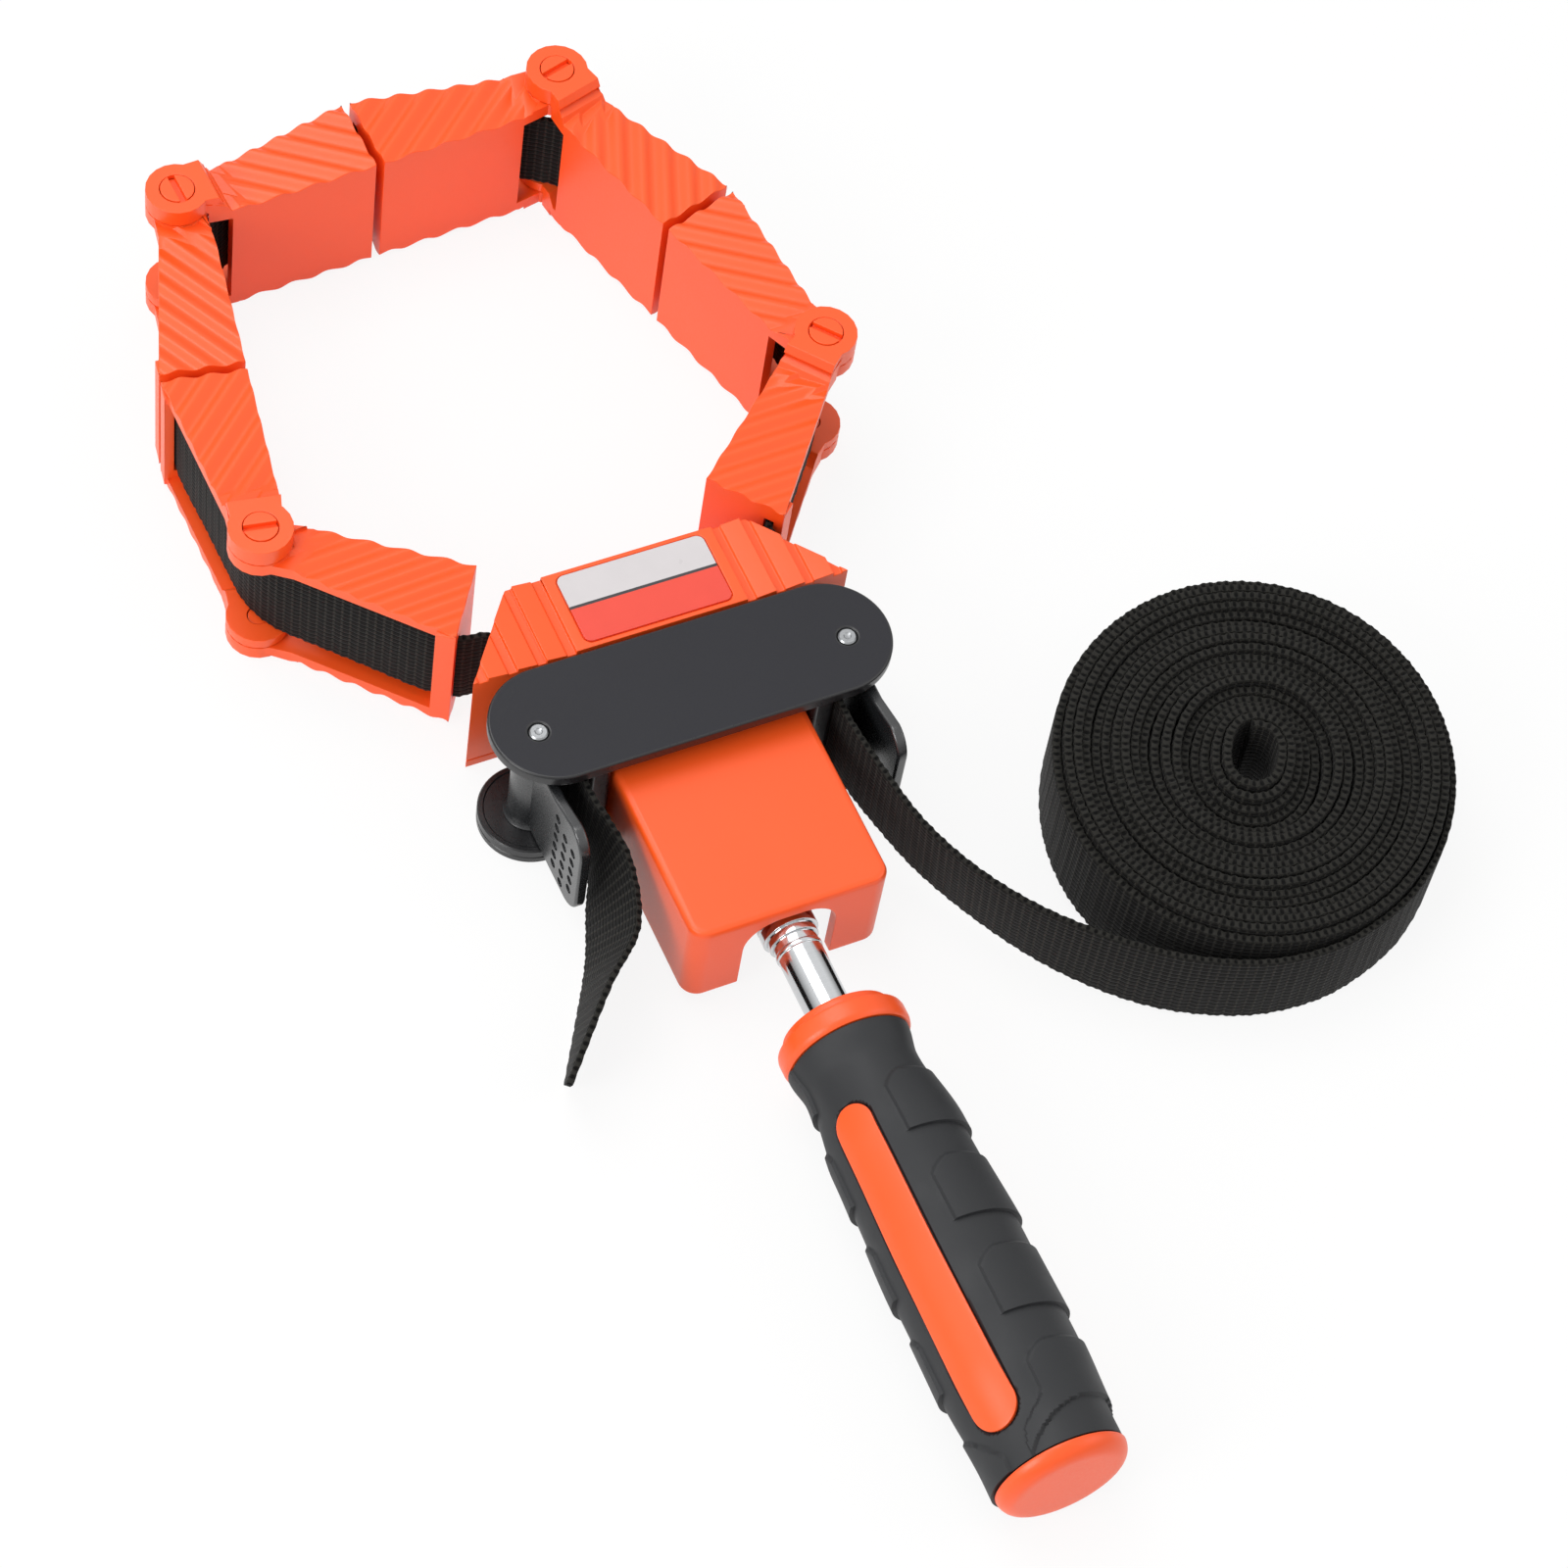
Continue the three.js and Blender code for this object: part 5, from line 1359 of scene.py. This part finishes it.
class CLAMP_OT_cam_levers(bpy.types.Operator):
    """Makes the two cam levers with dimpled finger tabs"""
    bl_idname = "clamp.cam_levers"
    bl_label = "Cam levers"

    def execute(self, context):
        sizes = context.scene.clamp_levers
        for hand, side in HANDS:
            low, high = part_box("cam_lever_" + hand)
            lever = self.hub(side, low, high)
            tab = self.tab(sizes, side)
            round_edges(tab, TAB_ROUND * MM, segments=3)
            self.dimples(tab, sizes, side)
            combine(lever, tab, "UNION")
            bore(lever, side * PIN_X, BRIDGE_Y, LEVER_BORE, low.z / MM - CLEAR, high.z / MM + CLEAR)
            smooth(lever, degrees=32)
            place(lever, "cam_lever_moulding_" + hand, finish_named("satin_black_nylon"), "cam_" + hand,
                  ["cam_lever_" + hand])
        return {"FINISHED"}

    def hub(self, side, low, high):
        """Round post with a flared foot, and teeth on its cam side towards the strap."""
        reach = PIN_X - (low.x if side > 0 else -high.x) / MM
        outline = []
        for i in range(CAM_STEPS):
            degrees = 360 * i / CAM_STEPS
            fall = min(max((CAM_FALL_END - degrees) / CAM_FALL_REACH, 0), 1)
            back = min(max((degrees - CAM_BACK_START) / CAM_BACK_REACH, 0), 1)
            tooth = CAM_TOOTH if CAM_TEETH[0] < degrees < CAM_TEETH[1] and i % 2 else 0
            r = reach - CAM_FALL * max(fall, back) - tooth
            angle = math.radians(degrees)
            x = side * (PIN_X + r * math.cos(angle))
            outline.append(Vector((x, BRIDGE_Y + r * math.sin(angle), low.z / MM)) * MM)
        hub = prism("cam_lever_hub", outline, (0, 0, high.z - low.z))
        base = low.z / MM
        flare = [(0, base), (6.6, base), (6.4, base + 0.25), (6.0, base + 0.8), (5.8, base + 1.6),
                 (5.5, base + 2.6), (0, base + 2.6)]
        combine(hub, upright_turned("cam_lever_flare", flare, side * PIN_X, BRIDGE_Y), "UNION")
        return hub

    def out(self, away):
        """Outer face of the tab, beside the pin's line, at a distance from the pin."""
        return TAB_ROOT - TAB_SLANT * away

    def tab(self, sizes, side):
        """Flat plate on edge with a round free end, lower where it lies under the bridge."""
        end = (sizes.tab_length - sizes.tab_corner) / MM
        corner = sizes.tab_corner / MM
        low, top = sizes.tab_low / MM, sizes.tab_top / MM
        under = top - sizes.tab_step / MM
        outline = [(TAB_FREE, under), (TAB_START, under), (TAB_START, low)]
        for z, first in ((low + corner, -90), (top - corner, 0)):
            for k in range(TAB_STEPS + 1):
                angle = math.radians(first + 90 / TAB_STEPS * k)
                outline.append((end + corner * math.cos(angle), z + corner * math.sin(angle)))
        points = metres([(side * (PIN_X + self.out(away)), BRIDGE_Y - away, z) for away, z in outline])
        return prism("cam_lever_tab", points, (-side * sizes.tab_thick, 0, 0))

    def dimples(self, tab, sizes, side):
        """Sinks staggered columns of round dimples into the outer face."""
        pitch = sizes.dimple_pitch / MM
        balls = []
        for column, (first, rows) in enumerate(DIMPLE_COLUMNS):
            away = DIMPLE_START + DIMPLE_SPREAD * column
            x = side * (PIN_X + self.out(away) + sizes.dimple_rise / MM)
            for row in range(rows):
                place_at = Vector((x, BRIDGE_Y - away, first + pitch * row)) * MM
                deselect()
                bpy.ops.mesh.primitive_uv_sphere_add(segments=16, ring_count=10, radius=sizes.dimple,
                                                     location=place_at, scale=(DIMPLE_STRETCH, 1, 1))
                balls.append(bpy.context.object)
        join(balls)
        combine(tab, balls[0], "DIFFERENCE")


class CLAMP_OT_screw(bpy.types.Operator):
    """Makes the screw, its washers and the bright sleeve"""
    bl_idname = "clamp.screw"
    bl_label = "Screw and sleeve"

    def execute(self, context):
        edges = context.scene.clamp_edges
        bodies = {"screw_rod": "handle", "retaining_collar": "handle", "thrust_washer": "housing"}
        for node, body in bodies.items():
            finish_copy(cad_copy(node), node, node + "_turned", "zinc_plated_steel", body,
                        edges.metal)
        low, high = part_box("rod_sleeve")
        front, back = high.y / MM, low.y / MM
        profile = [
            (4.4, back), (5.6, back), (5.6, front - 11.5), (5.9, front - 11.3), (5.9, front - 10.3),
            (5.6, front - 10.1), (5.6, front - 8), (6.3, front - 8), (6.3, front - 6), (7.1, front - 6),
            (7.1, front - 3.4), (6.8, front - 3.2), (6.8, front - 2.6), (7.1, front - 2.4), (7.1, front),
            (4.4, front), (4.4, back),
        ]
        sleeve = turned("rod_sleeve_turned", profile)
        round_edges(sleeve, THIN_EDGE * MM)
        smooth(sleeve)
        place(sleeve, "rod_sleeve_turned", finish_named("bright_plated_steel"), "handle",
              ["rod_sleeve"])
        return {"FINISHED"}


class CLAMP_OT_handle(bpy.types.Operator):
    """Makes the handle: core collar, inlays, soft grip and end cap"""
    bl_idname = "clamp.handle"
    bl_label = "Handle"

    def execute(self, context):
        grip = context.scene.clamp_grip
        self.soft_grip(grip)
        self.core(grip)
        self.cap()
        return {"FINISHED"}

    def radius(self, u):
        """Radius of the plain grip at a distance from its front end, in millimetres."""
        share = min(max(u / GRIP_LENGTH, 0.0), 1.0)
        for (a, low), (b, high) in zip(GRIP_KNOTS, GRIP_KNOTS[1:]):
            if share <= b:
                return low + (high - low) * ease((share - a) / (b - a) - 0.5, 1.0)
        return GRIP_KNOTS[-1][1]

    def pads(self, grip, u, turn, radius):
        """Height of the raised pads; turn is in degrees from the middle of the upper inlay."""
        height, pitch, long = grip.pad_height / MM, grip.pad_pitch / MM, grip.pad_length / MM
        right = turn % 360 < 180
        first = (grip.ledge_right if right else grip.ledge_left) / MM
        off = abs(turn % 180 - 90)
        best = 0.0
        for i in range(PAD_COUNT):
            ledge = first + i * pitch
            front = ledge - long + PAD_CURVE * (max(0.0, off - PAD_CURVE_FROM) / PAD_CURVE_REACH) ** 2
            half = PAD_HALF
            # The last pad of each row sweeps out under the end of the inlay
            if ledge > SWEEP_AFTER:
                half = PAD_HALF + SWEEP_WIDER * ease(u - SWEEP_MIDDLE, SWEEP_LENGTH)
                ledge = self.sweep(off, *SWEEP_LEDGE) if right else GRIP_WHOLE + CLEAR
                front = front if right else self.sweep(off, *SWEEP_FRONT)
            side = math.radians(half - off) * radius
            inside = min(ease(side, PAD_FLANK), ease(u - front, PAD_FRONT), ease(ledge - u, PAD_LEDGE))
            along = min(max((u - front) / long, 0.0), 1.0)
            best = max(best, inside * height * (PAD_LOW + PAD_RISE * along))
        return best

    def sweep(self, off, start, back, angle):
        """Place along the grip of a line that runs back to both sides of a pad's middle."""
        return start + back * (off / angle) ** SWEEP_POWER

    def from_inlay(self, grip, u, turn, radius):
        """Distance outside the edge of the nearer inlay, in millimetres."""
        front, back = grip.inlay_front / MM, grip.inlay_back / MM
        on = min(max(u, front), back)
        wide = grip.inlay_narrow + (grip.inlay_wide - grip.inlay_narrow) * (on - front) / (back - front)
        across = math.radians((turn + 90) % 180 - 90) * radius
        return math.hypot(across, u - on) - wide / MM

    def soft_grip(self, grip):
        """Spins the grip's outline, then lifts the pads and sinks the beds of the inlays."""
        rows = [GRIP_ROW * k for k in range(1, round(GRIP_WHOLE / GRIP_ROW))]
        for first in (grip.ledge_right, grip.ledge_left):
            for i in range(PAD_COUNT - 1):
                ledge = (first + i * grip.pad_pitch) / MM
                rows += [ledge - LEDGE_ROW, ledge + LEDGE_ROW]
        rows = [0.0] + sorted(u for u in rows if u < GRIP_WHOLE) + [GRIP_WHOLE]
        profile = [(GRIP_BORE, GRIP_FRONT)] + [(self.radius(u), GRIP_FRONT - u) for u in rows]
        profile += [(GRIP_BORE, GRIP_END), (GRIP_BORE, GRIP_FRONT)]
        piece = turned("handle_soft_grip", profile, GRIP_SIDES)
        middle = Vector((0, 0, AXIS_Z * MM))
        for point in piece.data.vertices:
            spoke = Vector((point.co.x, 0, point.co.z)) - middle
            if spoke.length < (GRIP_BORE + CLEAR) * MM:
                continue
            u = GRIP_FRONT - point.co.y / MM
            turn = math.degrees(math.atan2(spoke.x, spoke.z)) - INLAY_TURN
            radius = self.radius(u)
            lift = self.pads(grip, u, turn, radius)
            bed = 1 - ease(self.from_inlay(grip, u, turn, radius) - grip.groove / MM, INLAY_BED_EDGE)
            lift = lift * (1 - bed) - INLAY_BED * bed
            point.co += spoke.normalized() * lift * MM
        smooth(piece, degrees=34)
        place(piece, "handle_soft_grip", finish_named("soft_grip_rubber"), "handle",
              ["handle_grip"])

    def inlay(self, grip, turn):
        """Pill-shaped plate, laid flat, rounded and then wrapped onto the grip."""
        outline = []
        ends = ((grip.inlay_front, grip.inlay_narrow, 0), (grip.inlay_back, grip.inlay_wide, 180))
        for along, radius, start in ends:
            for k in range(INLAY_STEPS + 1):
                angle = math.radians(start + 180 / INLAY_STEPS * k)
                outline.append((radius * math.cos(angle), radius * math.sin(angle) - along, 0))
        deep = INLAY_DEPTH * MM
        piece = prism("handle_inlay", outline, (0, 0, deep + grip.inlay_proud))
        round_edges(piece, INLAY_ROUND * MM)
        for axis, low, high, step in INLAY_CUTS:
            normal = Vector((axis == 0, axis == 1, 0))
            for k in range(low, high + 1, step):
                enter(piece)
                bpy.ops.mesh.bisect(plane_co=normal * k * MM, plane_no=normal)
                leave()
        for point in piece.data.vertices:
            u = -point.co.y / MM
            radius = self.radius(u)
            angle = math.radians(turn) + point.co.x / MM / radius
            out = radius * MM - deep + point.co.z
            point.co = (out * math.sin(angle), (GRIP_FRONT - u) * MM, AXIS_Z * MM + out * math.cos(angle))
        close_up(piece)
        return piece

    def core(self, grip):
        """Stepped collar and core, with the two inlays that show through the grip."""
        y = COLLAR_FRONT
        profile = [
            (5.95, y), (12.9, y), (13.5, y - 0.2), (13.8, y - 0.7), (13.8, y - 2), (14.1, y - 2.35),
            (15.2, y - 2.5), (15.9, y - 2.9), (16.15, y - 3.7), (16.15, y - 6.6), (15.9, y - 7.6),
            (15.4, y - 8.2),
            (CORE_RADIUS, y - 8.2), (CORE_RADIUS, GRIP_END + 0.1), (0, GRIP_END + 0.1), (0, SCREW_END),
            (4.25, SCREW_END), (4.25, GRIP_FRONT - 0.3), (5.95, GRIP_FRONT - 0.3), (5.95, y),
        ]
        core = turned("handle_core_moulding", profile)
        parts = [core, self.inlay(grip, INLAY_TURN), self.inlay(grip, INLAY_TURN + 180)]
        for part in parts:
            smooth(part, degrees=35)
        join(parts)
        place(core, "handle_core_moulding", finish_named("moulded_orange_abs"), "handle",
              ["handle_core"])

    def cap(self):
        """Short cap with a round shoulder and a flat end, let into the end of the grip."""
        y = GRIP_END - CAP_SEAM
        profile = [(0, y), (15.3, y), (15.9, y - 0.3), (CAP_RADIUS, y - 0.8)]
        for k in range(CAP_STEPS + 1):
            angle = math.radians(90 / CAP_STEPS * k)
            profile.append((CAP_RADIUS - CAP_SHOULDER + CAP_SHOULDER * math.cos(angle),
                            CAP_END + CAP_CROWN + CAP_SHOULDER - CAP_SHOULDER * math.sin(angle)))
        profile += [(CAP_FLAT, CAP_END + CAP_FLAT_CROWN), (0, CAP_END)]
        piece = turned("handle_cap_moulding", profile, steps=96)
        smooth(piece, degrees=30)
        place(piece, "handle_cap_moulding", finish_named("moulded_orange_abs"), "handle",
              ["handle_end_cap"])


class CLAMP_PT_pieces(bpy.types.Panel):
    """Lists the clamp's settings and pieces"""
    bl_idname = "CLAMP_PT_pieces"
    bl_label = "Band clamp"
    bl_space_type = "VIEW_3D"
    bl_region_type = "UI"
    bl_category = "Clamp"

    def draw(self, context):
        for group in GROUPS:
            box = self.layout.box()
            settings = getattr(context.scene, group)
            for key in settings.bl_rna.properties.keys():
                if key not in ("rna_type", "name"):
                    box.prop(settings, key)
        for operator in OPERATORS:
            self.layout.operator(operator.bl_idname)


GROUPS = {
    "clamp_colours": ClampColours,
    "clamp_strap": ClampStrap,
    "clamp_edges": ClampEdges,
    "clamp_levers": ClampLevers,
    "clamp_grip": ClampGrip,
}
OPERATORS = (
    CLAMP_OT_stage,
    CLAMP_OT_spare_strap,
    CLAMP_OT_strap_tail,
    CLAMP_OT_loop_strap,
    CLAMP_OT_housing,
    CLAMP_OT_jaws,
    CLAMP_OT_bridge,
    CLAMP_OT_cam_levers,
    CLAMP_OT_screw,
    CLAMP_OT_handle,
)


def register():
    for group in GROUPS.values():
        bpy.utils.register_class(group)
    for name, group in GROUPS.items():
        setattr(bpy.types.Scene, name, PointerProperty(type=group))
    for operator in OPERATORS:
        bpy.utils.register_class(operator)
    bpy.utils.register_class(CLAMP_PT_pieces)


def unregister():
    bpy.utils.unregister_class(CLAMP_PT_pieces)
    for operator in reversed(OPERATORS):
        bpy.utils.unregister_class(operator)
    for name in GROUPS:
        delattr(bpy.types.Scene, name)
    for group in reversed(list(GROUPS.values())):
        bpy.utils.unregister_class(group)


def main():
    register()
    bpy.ops.clamp.stage()
    bpy.ops.clamp.spare_strap()
    bpy.ops.clamp.strap_tail()
    bpy.ops.clamp.loop_strap()
    bpy.ops.clamp.housing()
    bpy.ops.clamp.jaws()
    bpy.ops.clamp.bridge()
    bpy.ops.clamp.cam_levers()
    bpy.ops.clamp.screw()
    bpy.ops.clamp.handle()
    bpy.context.view_layer.update()


if __name__ == "__main__":
    main()
